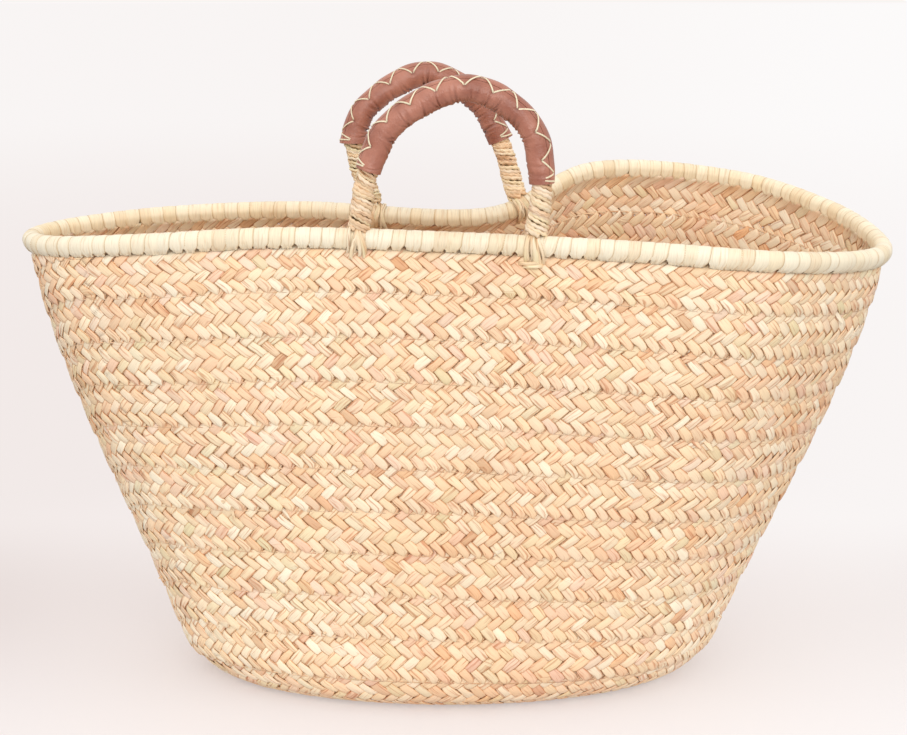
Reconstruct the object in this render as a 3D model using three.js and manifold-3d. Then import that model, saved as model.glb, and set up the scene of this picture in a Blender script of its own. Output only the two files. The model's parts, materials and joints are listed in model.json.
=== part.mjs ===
// Tote basket of plaited palm leaf: one long flat plait sewn in an oval spiral, a bound roll
// round the mouth and two short leather-covered handles lashed to it.
// Millimetres, +Z up, +X along the mouth, -Y the front.
import * as THREE from 'three';
import { mergeVertices } from 'three/addons/utils/BufferGeometryUtils.js';
import Module from 'manifold-3d';

const wasm = await Module();
wasm.setup();

// Clearance between pieces that lie against each other
const GAP = 0.3;

// Base: an oval whose corner turns up into the wall
const BASE_LENGTH = 358;
const BASE_WIDTH = 208;
const BASE_OFFSET = -8;
const CORNER_REACH = 36;

// Mouth: the centre line of the roll, pinched in the middle and pulled up at the back right
const MOUTH_LENGTH = 584;
const MOUTH_WIDTH = 138;
const MOUTH_HEIGHT = 314;
const BELLY = 9;
// Sixteen stations from the right end by way of the back: share of half the length,
// share of half the width, and lift in millimetres
const MOUTH_STATIONS = [
  [0.99, 0.0, -12],
  [0.92, 0.92, 4],
  [0.7, 1.62, 22],
  [0.34, 1.36, 30],
  [0.07, 0.98, -0.5],
  [-0.38, 0.97, 4],
  [-0.7, 0.87, 1.5],
  [-0.92, 0.52, -3.5],
  [-1.0, 0.0, -7],
  [-0.92, -0.55, -7],
  [-0.7, -0.87, -2.5],
  [-0.38, -1.01, 3],
  [0.0, -1.03, 0],
  [0.38, -1.22, -4],
  [0.7, -1.28, -10],
  [0.92, -0.58, -16],
];

// Plait: a strip sewn in this many turns, thinner at its edges than along its middle
const PLAIT_TURNS = 14;
const PLAIT_EDGE = 3.2;
const PLAIT_CROWN = 0.8;
const PLAIT_END = 1.5;
const HEART_SLIT = 1.5;
const CLIMB_SHARE = 0.14;
const START_SHARE = 0.59;
const STEPS_ROUND = 40;
const END_CROWDING = 0.1;

// Rim roll: a fibre bundle bound to the top edge of the wall with wide leaf
const BUNDLE_RADIUS = 4.6;
const BINDING_THICKNESS = 1.4;
const BINDING_RIB = 0.5;
const BINDING_LIP = 0.8;
const RIBS_PER_STEP = 3;

// Handles: rope core, cord-wound legs and a laced leather sleeve
const LEG_RADIUS = 3.8;
const GRIP_RADIUS = 7;
const LEATHER_THICKNESS = 1.4;
const LEG_CORD = 2.2;
const LEG_CORD_WIDTH = 2.7;
const LEG_PITCH = 4.1;
const LEG_ENTRY = 3;
const GRIP_SWELL = 7;
const LACE_CORD = 1.3;
const LACE_PITCH = 18.5;
const LACE_SPREAD = 7.2;
const LACE_SIDE = 3.6;
const LACE_MARGIN = 6.5;
const SWING_IN = 34;
const SWING_OUT = 90;

// Lashings: loops round the roll and through a slot in the top course
const LASH_CORD = 2.3;
const LASH_PITCH = 2.8;
const LASH_LOOPS = 4;
const LASH_DROP = 12.6;
// Where the oval of a loop is widest, and where it narrows below the roll, as shares of its
// height over the roll's centre, its drop and its half width
const LASH_SHOULDER = 0.15;
const LASH_WAIST = 0.72;
const LASH_TAPER = 0.62;

// Each handle: where it stands on the mouth, its span there, the wound length of its two legs,
// and the run of its centre line as share of the span and height over the roll's centre
const HANDLES = [
  {
    name: 'front',
    side: -1,
    centre: -9,
    span: 114,
    legs: [34, 30],
    crest: [[-0.45, 42], [-0.32, 74], [0.1, 98], [0.445, 76], [0.525, 40]],
  },
  {
    name: 'back',
    side: 1,
    centre: -8,
    span: 103,
    legs: [43, 38],
    crest: [[-0.615, 52], [-0.52, 76], [-0.08, 97.5], [0.255, 76], [0.4, 44]],
  },
];

// Materials
const plaitLeaf = new THREE.MeshStandardMaterial({ color: 0xd9b886, roughness: 0.75, metalness: 0 });
const bindingLeaf = new THREE.MeshStandardMaterial({ color: 0xeeddb4, roughness: 0.6, metalness: 0 });
const fibreBundle = new THREE.MeshStandardMaterial({ color: 0xb79a6a, roughness: 0.9, metalness: 0 });
const leafCord = new THREE.MeshStandardMaterial({ color: 0xd8bd8c, roughness: 0.8, metalness: 0 });
const brownLeather = new THREE.MeshStandardMaterial({ color: 0x8d5a49, roughness: 0.5, metalness: 0 });
const laceThread = new THREE.MeshStandardMaterial({ color: 0xf0e6cf, roughness: 0.7, metalness: 0 });

// Body shape
const TURN = Math.PI * 2;
const HALF_EDGE = PLAIT_EDGE / 2;
const BASE_REACH = BASE_WIDTH / 2;
const BASE_SPINE = (BASE_LENGTH - BASE_WIDTH) / 2;
const UP = new THREE.Vector3(0, 0, 1);
// Small steps for measuring slopes: an angle round the basket and a height on the wall
const ANGLE_STEP = 0.002;
const HEIGHT_STEP = 0.5;

const mouthCurve = new THREE.CatmullRomCurve3(
  MOUTH_STATIONS.map(([along, out, lift]) => new THREE.Vector3(
    along * MOUTH_LENGTH / 2,
    out * MOUTH_WIDTH / 2,
    MOUTH_HEIGHT + lift,
  )),
  true,
  'catmullrom',
  0.5,
);

function mouthPoint(phi) {
  const share = phi / TURN;
  return mouthCurve.getPoint(share - Math.floor(share));
}

function basePoint(phi, reach) {
  return new THREE.Vector3(
    BASE_OFFSET + (BASE_SPINE + reach) * Math.cos(phi),
    reach * Math.sin(phi),
    HALF_EDGE,
  );
}

// The line from the middle of the base out to the corner, up the wall and to the roll
function profileAt(phi) {
  const flatEnd = basePoint(phi, BASE_REACH - CORNER_REACH);
  const corner = basePoint(phi, BASE_REACH);
  const top = mouthPoint(phi);
  const rise = top.clone().sub(corner).normalize();
  const foot = corner.clone().addScaledVector(rise, CORNER_REACH);
  const third = top.distanceTo(foot) / 3;
  const outward = new THREE.Vector3(Math.cos(phi) / BASE_LENGTH, Math.sin(phi) / BASE_WIDTH, 0);
  outward.normalize();
  const shoulder = top.clone().addScaledVector(rise, -third).addScaledVector(outward, BELLY * 2);
  const path = new THREE.CurvePath();
  path.add(new THREE.LineCurve3(basePoint(phi, 0), flatEnd));
  path.add(new THREE.QuadraticBezierCurve3(flatEnd, corner, foot));
  path.add(new THREE.CubicBezierCurve3(foot, foot.clone().addScaledVector(rise, third), shoulder, top));
  return path;
}

const profiles = new Map();

function profile(phi) {
  if (!profiles.has(phi)) {
    profiles.set(phi, profileAt(phi));
  }
  return profiles.get(phi);
}

// Height along the profile is counted the same all round, so the courses run level with the roll
const PROFILE_LENGTH = profileAt(TURN * 0.75).getLength();
const COURSE = PROFILE_LENGTH / PLAIT_TURNS;

function wallPoint(phi, height) {
  return profile(phi).getPoint(Math.min(Math.max(height / PROFILE_LENGTH, 0), 1));
}

function wallNormal(phi, height) {
  const flatLength = BASE_REACH - CORNER_REACH;
  const path = profile(phi);
  if (height / PROFILE_LENGTH * path.getLength() < flatLength) {
    return UP.clone().negate();
  }
  const around = wallPoint(phi + ANGLE_STEP, height).sub(wallPoint(phi - ANGLE_STEP, height));
  const upward = wallPoint(phi, height + HEIGHT_STEP).sub(wallPoint(phi, height - HEIGHT_STEP));
  return around.cross(upward).normalize();
}

// Even steps round the basket, crowded a little towards its two narrow ends
function stepAngle(step) {
  const even = step / STEPS_ROUND * TURN;
  return even - END_CROWDING * Math.sin(2 * even);
}

// A closed body from rings of points, capped at both ends or joined end to end
function loft(rings, endless) {
  const count = rings[0].length;
  const positions = rings.flat().flatMap((p) => [p.x, p.y, p.z]);
  const faces = [];
  const spans = endless ? rings.length : rings.length - 1;
  for (let i = 0; i < spans; i += 1) {
    const here = i * count;
    const next = (i + 1) % rings.length * count;
    for (let j = 0; j < count; j += 1) {
      const k = (j + 1) % count;
      faces.push(here + j, next + j, next + k);
      faces.push(here + j, next + k, here + k);
    }
  }
  if (!endless) {
    const last = (rings.length - 1) * count;
    for (let j = 1; j < count - 1; j += 1) {
      faces.push(0, j, j + 1);
      faces.push(last, last + j + 1, last + j);
    }
  }
  return closedBody(positions, faces);
}

// A geometry whose faces point outwards, whichever way round they were listed
function closedBody(positions, faces) {
  const geometry = new THREE.BufferGeometry();
  geometry.setAttribute('position', new THREE.Float32BufferAttribute(positions, 3));
  const a = new THREE.Vector3();
  const b = new THREE.Vector3();
  const c = new THREE.Vector3();
  let volume = 0;
  for (let i = 0; i < faces.length; i += 3) {
    a.fromArray(positions, faces[i] * 3);
    b.fromArray(positions, faces[i + 1] * 3);
    c.fromArray(positions, faces[i + 2] * 3);
    volume += a.dot(b.cross(c));
  }
  geometry.setIndex(volume > 0 ? faces : faces.reverse());
  return geometry;
}

function toSolid(geometry) {
  const bare = geometry.clone();
  bare.deleteAttribute('normal');
  bare.deleteAttribute('uv');
  const merged = mergeVertices(bare, 1e-4);
  return new wasm.Manifold(new wasm.Mesh({
    numProp: 3,
    vertProperties: Float32Array.from(merged.attributes.position.array),
    triVerts: Uint32Array.from(merged.index.array),
  }));
}

function fromSolid(solid) {
  const mesh = solid.getMesh();
  const geometry = new THREE.BufferGeometry();
  geometry.setAttribute('position', new THREE.BufferAttribute(mesh.vertProperties, 3));
  geometry.setIndex(new THREE.BufferAttribute(mesh.triVerts, 1));
  return geometry;
}

// Least gap between stretches of one cord that lie at least half a loop apart
function leastSelfGap(points, perLoop, thickness) {
  let least = Infinity;
  for (let i = 0; i < points.length; i += 1) {
    for (let j = i + Math.ceil(perLoop / 2); j < points.length; j += 1) {
      least = Math.min(least, points[i].distanceTo(points[j]) - thickness);
    }
  }
  return least;
}

const basket = new THREE.Group();
basket.name = 'tote_basket';

function addPiece(parent, name, geometry, material) {
  const mesh = new THREE.Mesh(geometry, material);
  mesh.name = name;
  parent.add(mesh);
  return mesh;
}

// Plait turns
const START_STEP = Math.round(START_SHARE * STEPS_ROUND);
const CLIMB_STEPS = Math.round(CLIMB_SHARE * STEPS_ROUND);
const WALL_TOP = PROFILE_LENGTH - BUNDLE_RADIUS * Math.cos(Math.PI / 6) - GAP;

// How far the spiral has climbed towards the next course at a step of its turn
function climb(step) {
  const share = (step - (STEPS_ROUND - CLIMB_STEPS)) / CLIMB_STEPS;
  return THREE.MathUtils.smoothstep(share, 0, 1);
}

// One cross-section of the strip between two heights: outer edge, crown, outer edge, inner face
function plaitRing(phi, low, high) {
  const middle = (low + high) / 2;
  const width = high - low;
  const rise = THREE.MathUtils.smoothstep(wallPoint(phi, middle).z, HALF_EDGE, COURSE);
  const crown = PLAIT_CROWN * rise * Math.min(width / COURSE, 1);
  const at = (height, out) => wallPoint(phi, height).addScaledVector(wallNormal(phi, height), out);
  return [
    at(low, HALF_EDGE),
    at(middle, HALF_EDGE + crown),
    at(high, HALF_EDGE),
    at(high, -HALF_EDGE),
    at(low, -HALF_EDGE),
  ];
}

// A step's angle, drawn back half a gap where one turn of the plait meets the next
function turnAngle(step, turn) {
  const phi = stepAngle(START_STEP + step);
  const opens = step === 0 && turn > 1;
  const closes = step === STEPS_ROUND;
  if (!opens && !closes) {
    return phi;
  }
  const height = (turn - 0.5) * COURSE;
  const perAngle = wallPoint(phi + ANGLE_STEP, height).distanceTo(wallPoint(phi, height)) / ANGLE_STEP;
  return phi + (closes ? -1 : 1) * GAP / 2 / perAngle;
}

function plaitTurn(turn) {
  const rings = [];
  const first = turn === 1 ? -CLIMB_STEPS : 0;
  for (let step = first; step <= STEPS_ROUND; step += 1) {
    const level = turn - 1 + climb(step < 0 ? step + STEPS_ROUND : step) - (step < 0 ? 1 : 0);
    const low = Math.max(level * COURSE + GAP / 2, HEART_SLIT / 2);
    const high = Math.min((level + 1) * COURSE - GAP / 2, WALL_TOP);
    if (high - low > PLAIT_END) {
      rings.push(plaitRing(turnAngle(step, turn), low, high));
    }
  }
  return loft(rings, false);
}

// The binding's bore is a little wider than the bundle's corners
const BORE_PLAY = 0.36;
const BORE_RADIUS = BUNDLE_RADIUS + BORE_PLAY;
const BINDING_RADIUS = BORE_RADIUS + BINDING_THICKNESS;
const BORE_FLOOR = BORE_RADIUS * Math.cos(Math.PI / 6);
const HEM_DEPTH = BINDING_RADIUS + BINDING_LIP;

// Roll frame: centre, direction along the roll, away from the wall, and outwards, with the
// places on the wall that the binding's lips clasp and the way the wall faces there
function rollFrame(phi) {
  const centre = mouthPoint(phi);
  const along = mouthPoint(phi + ANGLE_STEP).sub(mouthPoint(phi - ANGLE_STEP)).normalize();
  const away = centre.clone().sub(wallPoint(phi, PROFILE_LENGTH - 2 * BUNDLE_RADIUS));
  away.addScaledVector(along, -away.dot(along)).normalize();
  const outward = along.clone().cross(away).normalize();
  const neck = wallPoint(phi, PROFILE_LENGTH - BORE_FLOOR);
  const hem = wallPoint(phi, PROFILE_LENGTH - HEM_DEPTH);
  const face = wallNormal(phi, PROFILE_LENGTH - HEM_DEPTH);
  return { centre, along, away, outward, neck, hem, face };
}

function inFrame(frame, outward, away, along = 0) {
  return frame.centre.clone()
    .addScaledVector(frame.outward, outward)
    .addScaledVector(frame.away, away)
    .addScaledVector(frame.along, along);
}

function blendFrames(one, other, share) {
  const blended = {};
  ['centre', 'neck', 'hem'].forEach((key) => {
    blended[key] = one[key].clone().lerp(other[key], share);
  });
  ['along', 'away', 'outward', 'face'].forEach((key) => {
    blended[key] = one[key].clone().lerp(other[key], share).normalize();
  });
  return blended;
}

const rollFrames = Array.from({ length: STEPS_ROUND }, (unused, step) => rollFrame(stepAngle(step)));

// Fibre bundle: six flat sides, the lowest one resting on the top edge of the wall
const HEXAGON = [30, 90, 150, 210, 270, 330].map((degrees) => THREE.MathUtils.degToRad(degrees));

function rimBundle() {
  const rings = rollFrames.map((frame) => HEXAGON.map((angle) => inFrame(
    frame,
    BUNDLE_RADIUS * Math.sin(angle),
    BUNDLE_RADIUS * Math.cos(angle),
  )));
  return loft(rings, true);
}

// Leaf binding: a ribbed skin over the bundle whose two lips clasp the top edge of the wall.
// The ribbed outside has several rings to each step and the smooth inside one.
const LIP_OFFSET = HALF_EDGE + 2 * GAP;
const BINDING_ARC = [-125, -62, 0, 62, 125].map((degrees) => THREE.MathUtils.degToRad(degrees));

function bindingOutside(frame, shrink) {
  const radius = BINDING_RADIUS - shrink;
  return [
    frame.hem.clone().addScaledVector(frame.face, -LIP_OFFSET),
    ...BINDING_ARC.map((angle) => inFrame(frame, radius * Math.sin(angle), radius * Math.cos(angle))),
    frame.hem.clone().addScaledVector(frame.face, LIP_OFFSET),
  ];
}

function bindingInside(frame) {
  const corners = HEXAGON.map((angle) => inFrame(
    frame,
    -BORE_RADIUS * Math.sin(angle),
    BORE_RADIUS * Math.cos(angle),
  ));
  const ordered = [...corners.slice(3), ...corners.slice(0, 3)].reverse();
  return [
    frame.neck.clone().addScaledVector(frame.face, -LIP_OFFSET),
    ...ordered,
    frame.neck.clone().addScaledVector(frame.face, LIP_OFFSET),
  ];
}

function rimBinding() {
  const outer = [];
  const inner = rollFrames.map((frame) => bindingInside(frame));
  rollFrames.forEach((frame, step) => {
    const next = rollFrames[(step + 1) % STEPS_ROUND];
    for (let rib = 0; rib < RIBS_PER_STEP; rib += 1) {
      outer.push(bindingOutside(blendFrames(frame, next, rib / RIBS_PER_STEP), BINDING_RIB));
      outer.push(bindingOutside(blendFrames(frame, next, (rib + 0.25) / RIBS_PER_STEP), 0));
    }
  });
  const perStep = 2 * RIBS_PER_STEP;
  const outerCount = outer[0].length;
  const innerCount = inner[0].length;
  const innerStart = outer.length * outerCount;
  const outerAt = (ring, j) => ring % outer.length * outerCount + j;
  const innerAt = (ring, j) => innerStart + ring % inner.length * innerCount + j;
  const faces = [];
  for (let i = 0; i < outer.length; i += 1) {
    for (let j = 0; j < outerCount - 1; j += 1) {
      faces.push(outerAt(i, j), outerAt(i + 1, j), outerAt(i + 1, j + 1));
      faces.push(outerAt(i, j), outerAt(i + 1, j + 1), outerAt(i, j + 1));
    }
  }
  for (let i = 0; i < inner.length; i += 1) {
    for (let j = 0; j < innerCount - 1; j += 1) {
      faces.push(innerAt(i, j), innerAt(i + 1, j + 1), innerAt(i + 1, j));
      faces.push(innerAt(i, j), innerAt(i, j + 1), innerAt(i + 1, j + 1));
    }
    for (let k = 0; k < perStep; k += 1) {
      const ring = i * perStep + k;
      faces.push(innerAt(i, 0), outerAt(ring + 1, 0), outerAt(ring, 0));
      faces.push(
        innerAt(i, innerCount - 1),
        outerAt(ring, outerCount - 1),
        outerAt(ring + 1, outerCount - 1),
      );
    }
    faces.push(innerAt(i, 0), innerAt(i + 1, 0), outerAt((i + 1) * perStep, 0));
    faces.push(
      innerAt(i, innerCount - 1),
      outerAt((i + 1) * perStep, outerCount - 1),
      innerAt(i + 1, innerCount - 1),
    );
  }
  const positions = [...outer.flat(), ...inner.flat()].flatMap((p) => [p.x, p.y, p.z]);
  return closedBody(positions, faces);
}

// Lashings: an oval coil over the roll, down both sides and through the wall below the lips
const LASH_CLEARANCE = BINDING_RADIUS + 2 * GAP + LASH_CORD / 2;
const LASH_STEPS = 10;

function lashingPath() {
  const widest = LASH_CLEARANCE * LASH_SHOULDER;
  const waist = LASH_DROP * LASH_WAIST;
  const narrow = LASH_CLEARANCE * LASH_TAPER;
  return new THREE.CatmullRomCurve3([
    new THREE.Vector3(0, LASH_CLEARANCE, 0),
    new THREE.Vector3(LASH_CLEARANCE, widest, 0),
    new THREE.Vector3(narrow, -waist, 0),
    new THREE.Vector3(0, -LASH_DROP, 0),
    new THREE.Vector3(-narrow, -waist, 0),
    new THREE.Vector3(-LASH_CLEARANCE, widest, 0),
  ], true, 'catmullrom', 0.5);
}

function lashing(frame, name) {
  const oval = lashingPath();
  const length = LASH_LOOPS * LASH_STEPS;
  const centres = [];
  const rings = [];
  for (let i = 0; i <= length; i += 1) {
    const share = i / LASH_STEPS % 1;
    const shift = (i / LASH_STEPS - LASH_LOOPS / 2) * LASH_PITCH;
    const point = oval.getPoint(share);
    const run = oval.getTangent(share);
    const centre = inFrame(frame, point.x, point.y, shift);
    const outside = inFrame(frame, point.x - run.y, point.y + run.x, shift).sub(centre).normalize();
    centres.push(centre);
    rings.push([45, 135, 225, 315].map((degrees) => {
      const angle = THREE.MathUtils.degToRad(degrees);
      return centre.clone()
        .addScaledVector(outside, LASH_CORD / 2 * Math.cos(angle))
        .addScaledVector(frame.along, LASH_CORD / 2 * Math.sin(angle));
    }));
  }
  const gap = leastSelfGap(centres, LASH_STEPS, LASH_CORD);
  console.log(`${name} least self-gap ${gap.toFixed(2)} mm`);
  return { geometry: loft(rings, false), surface: rings.flat() };
}

// The slot that a lashing passes through
function lashingSlot(frame) {
  const room = LASH_CORD + 4 * GAP;
  const box = new THREE.BoxGeometry(room, 6 * PLAIT_EDGE, LASH_LOOPS * LASH_PITCH + room);
  const middle = inFrame(frame, 0, -LASH_DROP);
  box.applyMatrix4(new THREE.Matrix4().makeBasis(frame.away, frame.outward, frame.along));
  box.translate(middle.x, middle.y, middle.z);
  return box;
}

// The roll's frame on one side of the mouth at a given place along it
function rollFrameAt(x, side) {
  const halfway = STEPS_ROUND / 2;
  const steps = Array.from({ length: halfway }, (unused, i) => i + (side > 0 ? 0 : halfway));
  const before = steps.find((step) => {
    const ahead = rollFrames[(step + 1) % STEPS_ROUND].centre.x;
    return (rollFrames[step].centre.x - x) * (ahead - x) <= 0;
  });
  const one = rollFrames[before];
  const other = rollFrames[(before + 1) % STEPS_ROUND];
  const frame = blendFrames(one, other, (x - one.centre.x) / (other.centre.x - one.centre.x));
  frame.along.copy(other.centre).sub(one.centre).normalize();
  frame.outward.copy(frame.along).cross(frame.away).normalize();
  frame.away.copy(frame.outward).cross(frame.along);
  return frame;
}

// How far from its hinge line a leg has to end to pass over its lashing through the whole swing
function footRise(surface, foot, leg, hinge, side) {
  let rise = 0;
  for (let degrees = -SWING_IN; degrees <= SWING_OUT; degrees += 2) {
    const swung = leg.clone().applyAxisAngle(hinge, THREE.MathUtils.degToRad(-side * degrees));
    surface.forEach((point) => {
      rise = Math.max(rise, point.clone().sub(foot).dot(swung));
    });
  }
  return rise + GAP;
}

// A ring of points round the centre line of a handle, which lies in the local XZ plane
const ACROSS = new THREE.Vector3(0, 1, 0);

function handleRing(curve, share, radius, sides) {
  const centre = curve.getPointAt(share);
  const outside = ACROSS.clone().cross(curve.getTangentAt(share));
  return Array.from({ length: sides }, (unused, j) => {
    const angle = (j + 0.5) / sides * TURN;
    return centre.clone()
      .addScaledVector(outside, radius * Math.cos(angle))
      .addScaledVector(ACROSS, radius * Math.sin(angle));
  });
}

// Stations along a handle, shared by the core and the sleeve that fits over it: the legs, the
// mouths of the sleeve, where the legs' cord ends inside them, and the thick grip between
const LEG_STATIONS = 3;
const GRIP_STATIONS = 14;
const HANDLE_SIDES = 8;
const CORD_END = LEG_ENTRY * 1.5;

function handleStations(length, legs) {
  const start = legs[0] + CORD_END + GRIP_SWELL;
  const end = length - legs[1] - CORD_END - GRIP_SWELL;
  const leg = Array.from({ length: LEG_STATIONS }, (unused, i) => i / LEG_STATIONS);
  const grip = Array.from({ length: GRIP_STATIONS + 1 }, (unused, i) => i / GRIP_STATIONS);
  return [
    ...leg.map((share) => share * legs[0]),
    legs[0],
    legs[0] + CORD_END,
    ...grip.map((share) => start + share * (end - start)),
    length - legs[1] - CORD_END,
    length - legs[1],
    ...leg.map((share) => length - share * legs[1]).reverse(),
  ];
}

// Rope core: thin in the legs and wound thicker where the hand holds it
function handleCore(curve, legs) {
  const length = curve.getLength();
  const rings = handleStations(length, legs).map((along) => {
    const inside = Math.min(along - legs[0], length - legs[1] - along);
    const radius = inside > CORD_END + GRIP_SWELL / 2 ? GRIP_RADIUS : LEG_RADIUS;
    return handleRing(curve, Math.min(along / length, 1), radius, HANDLE_SIDES);
  });
  return loft(rings, false);
}

// Leather sleeve: a tube round the core, open at both ends
const SLEEVE_PLAY = 0.45;
const LEATHER_BORE = GRIP_RADIUS + SLEEVE_PLAY;
const LEATHER_RADIUS = LEATHER_BORE + LEATHER_THICKNESS;

function leatherSleeve(curve, legs) {
  const length = curve.getLength();
  const stations = handleStations(length, legs).slice(LEG_STATIONS, -LEG_STATIONS);
  const outer = stations.map((at) => handleRing(curve, at / length, LEATHER_RADIUS, HANDLE_SIDES));
  const inner = stations.map((at) => handleRing(curve, at / length, LEATHER_BORE, HANDLE_SIDES));
  const lengthwise = Array.from({ length: HANDLE_SIDES }, (unused, j) => [
    ...outer.map((ring) => ring[j]),
    ...inner.map((ring) => ring[j]).reverse(),
  ]);
  return loft(lengthwise, true);
}

// Lacing: one thread in a zigzag over the crest of the sleeve, further down on its front side
function leatherLacing(curve, legs, name) {
  const length = curve.getLength();
  const laced = length - legs[0] - legs[1] - 2 * LACE_MARGIN;
  const halves = 2 * Math.round(laced / LACE_PITCH);
  const radius = LEATHER_RADIUS + GAP + LACE_CORD / 2;
  const spread = LACE_SPREAD / LEATHER_RADIUS;
  const side = LACE_SIDE / LEATHER_RADIUS;
  const perHalf = 3;
  const centres = [];
  const outs = [];
  for (let i = 0; i <= halves * perHalf; i += 1) {
    const share = (legs[0] + LACE_MARGIN + i / (halves * perHalf) * laced) / length;
    const cycle = i / perHalf % 2;
    const angle = spread * (cycle < 1 ? 1 - 2 * cycle : 2 * cycle - 3) - side;
    const crest = curve.getTangentAt(share).cross(ACROSS);
    const out = crest.multiplyScalar(Math.cos(angle)).addScaledVector(ACROSS, Math.sin(angle));
    centres.push(curve.getPointAt(share).addScaledVector(out, radius / Math.cos(spread / perHalf)));
    outs.push(out);
  }
  const rings = centres.map((centre, i) => {
    const run = (centres[i + 1] ?? centre).clone().sub(centres[i - 1] ?? centre).normalize();
    const edge = run.cross(outs[i]).normalize();
    return [45, 135, 225, 315].map((degrees) => {
      const turn = THREE.MathUtils.degToRad(degrees);
      return centre.clone()
        .addScaledVector(outs[i], LACE_CORD / 2 * Math.cos(turn))
        .addScaledVector(edge, LACE_CORD / 2 * Math.sin(turn));
    });
  });
  const gap = leastSelfGap(centres, perHalf * 2, LACE_CORD);
  console.log(`${name} least self-gap ${gap.toFixed(2)} mm`);
  return loft(rings, false);
}

// Leg winding: one cord wound in close turns from the foot into the mouth of the sleeve
const LEG_STEPS = 9;
const LEG_SIDES = 4;

function legWinding(curve, legLength, atStart, name) {
  const length = curve.getLength();
  const wound = legLength + LEG_ENTRY - LEG_CORD_WIDTH;
  const loops = Math.round(wound / LEG_PITCH);
  const radius = (LEG_RADIUS + GAP + LEG_CORD / 2) / Math.cos(Math.PI / LEG_STEPS);
  const centres = [];
  const rings = [];
  for (let i = 0; i <= loops * LEG_STEPS; i += 1) {
    const along = LEG_CORD_WIDTH / 2 + i / (loops * LEG_STEPS) * wound;
    const share = atStart ? along / length : 1 - along / length;
    const run = curve.getTangentAt(share);
    const side = ACROSS.clone().cross(run);
    const angle = i / LEG_STEPS * TURN;
    const out = side.multiplyScalar(Math.cos(angle)).addScaledVector(ACROSS, Math.sin(angle));
    const centre = curve.getPointAt(share).addScaledVector(out, radius);
    centres.push(centre);
    rings.push(Array.from({ length: LEG_SIDES }, (unused, j) => {
      const turn = (j + 0.5) / LEG_SIDES * TURN;
      return centre.clone()
        .addScaledVector(out, -LEG_CORD / 2 * Math.cos(turn))
        .addScaledVector(run, LEG_CORD_WIDTH / 2 * Math.sin(turn));
    }));
  }
  const gap = leastSelfGap(centres, LEG_STEPS, LEG_CORD_WIDTH);
  console.log(`${name} least self-gap ${gap.toFixed(2)} mm`);
  return loft(rings, false);
}

// Assembly: handles and lashings, which say where the top courses are slotted
const slots = [];

function addHandle(spec) {
  const feet = [-1, 1].map((end) => {
    const place = spec.centre + end * spec.span / 2;
    const frame = rollFrameAt(place, spec.side);
    const name = `${spec.name}_${end < 0 ? 'left' : 'right'}`;
    const { geometry, surface } = lashing(frame, `${name}_lashing`);
    addPiece(basket, `${name}_lashing`, geometry, leafCord);
    slots.push(lashingSlot(frame));
    return { frame, surface, name };
  });
  const [left, right] = feet.map((foot) => foot.frame.centre);
  const hinge = right.clone().sub(left).normalize();
  const depth = UP.clone().cross(hinge).normalize();
  const upward = hinge.clone().cross(depth);
  const holder = new THREE.Group();
  holder.name = `${spec.name}_handle`;
  holder.position.copy(left.clone().add(right).multiplyScalar(0.5));
  holder.quaternion.setFromRotationMatrix(new THREE.Matrix4().makeBasis(hinge, depth, upward));
  const span = left.distanceTo(right);
  const crest = spec.crest.map(([share, height]) => new THREE.Vector3(share * span, 0, height));
  const ends = [crest.at(0), crest.at(-1)].map((next, index) => {
    const x = (index - 0.5) * span;
    const lean = next.clone().setX(next.x - x).normalize();
    const leg = hinge.clone().multiplyScalar(lean.x).addScaledVector(upward, lean.z);
    const foot = feet[index];
    const rise = footRise(foot.surface, foot.frame.centre, leg, hinge, spec.side);
    return new THREE.Vector3(x, 0, 0).addScaledVector(lean, rise);
  });
  const curve = new THREE.CatmullRomCurve3([ends[0], ...crest, ends[1]]);
  const laceName = `${spec.name}_sleeve_lacing`;
  addPiece(holder, `${spec.name}_handle_core`, handleCore(curve, spec.legs), fibreBundle);
  addPiece(holder, `${spec.name}_leather_sleeve`, leatherSleeve(curve, spec.legs), brownLeather);
  addPiece(holder, laceName, leatherLacing(curve, spec.legs, laceName), laceThread);
  feet.forEach((foot, index) => {
    const winding = legWinding(curve, spec.legs[index], index === 0, `${foot.name}_leg_winding`);
    addPiece(holder, `${foot.name}_leg_winding`, winding, leafCord);
  });
  basket.add(holder);
  return { spec, holder, hinge };
}

const handles = HANDLES.map((spec) => addHandle(spec));

// Assembly: the plait turns, with the slots cut where a lashing passes
for (let turn = 1; turn <= PLAIT_TURNS; turn += 1) {
  let geometry = plaitTurn(turn);
  if (turn >= PLAIT_TURNS - 1) {
    const cut = slots.reduce((solid, slot) => solid.subtract(toSolid(slot)), toSolid(geometry));
    geometry = fromSolid(cut);
  }
  addPiece(basket, `plait_turn_${String(turn).padStart(2, '0')}`, geometry, plaitLeaf);
}
addPiece(basket, 'rim_bundle', rimBundle(), fibreBundle);
addPiece(basket, 'rim_binding', rimBinding(), bindingLeaf);

// The origin is the middle of the basket's outline on the ground
basket.updateMatrixWorld(true);
const extent = new THREE.Box3().setFromObject(basket, true);
const middle = extent.getCenter(new THREE.Vector3());
basket.position.set(-middle.x, -middle.y, -extent.min.z);
basket.updateMatrixWorld(true);
handles.forEach(({ spec, holder, hinge }) => {
  const at = holder.getWorldPosition(new THREE.Vector3()).toArray().map((v) => v.toFixed(2));
  const axis = hinge.toArray().map((v) => v.toFixed(5));
  console.log(`${spec.name} handle hinge through ${at} along ${axis}`);
});
console.log(`course width ${COURSE.toFixed(2)} mm, ${PLAIT_TURNS} turns`);

export default basket;
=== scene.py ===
# Tote basket of plaited palm leaf, about 593 mm long at the mouth: one long flat plait sewn in an
# oval spiral, a leaf-bound roll round the mouth and two leather-covered handles lashed to it.
import json
import math

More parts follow.
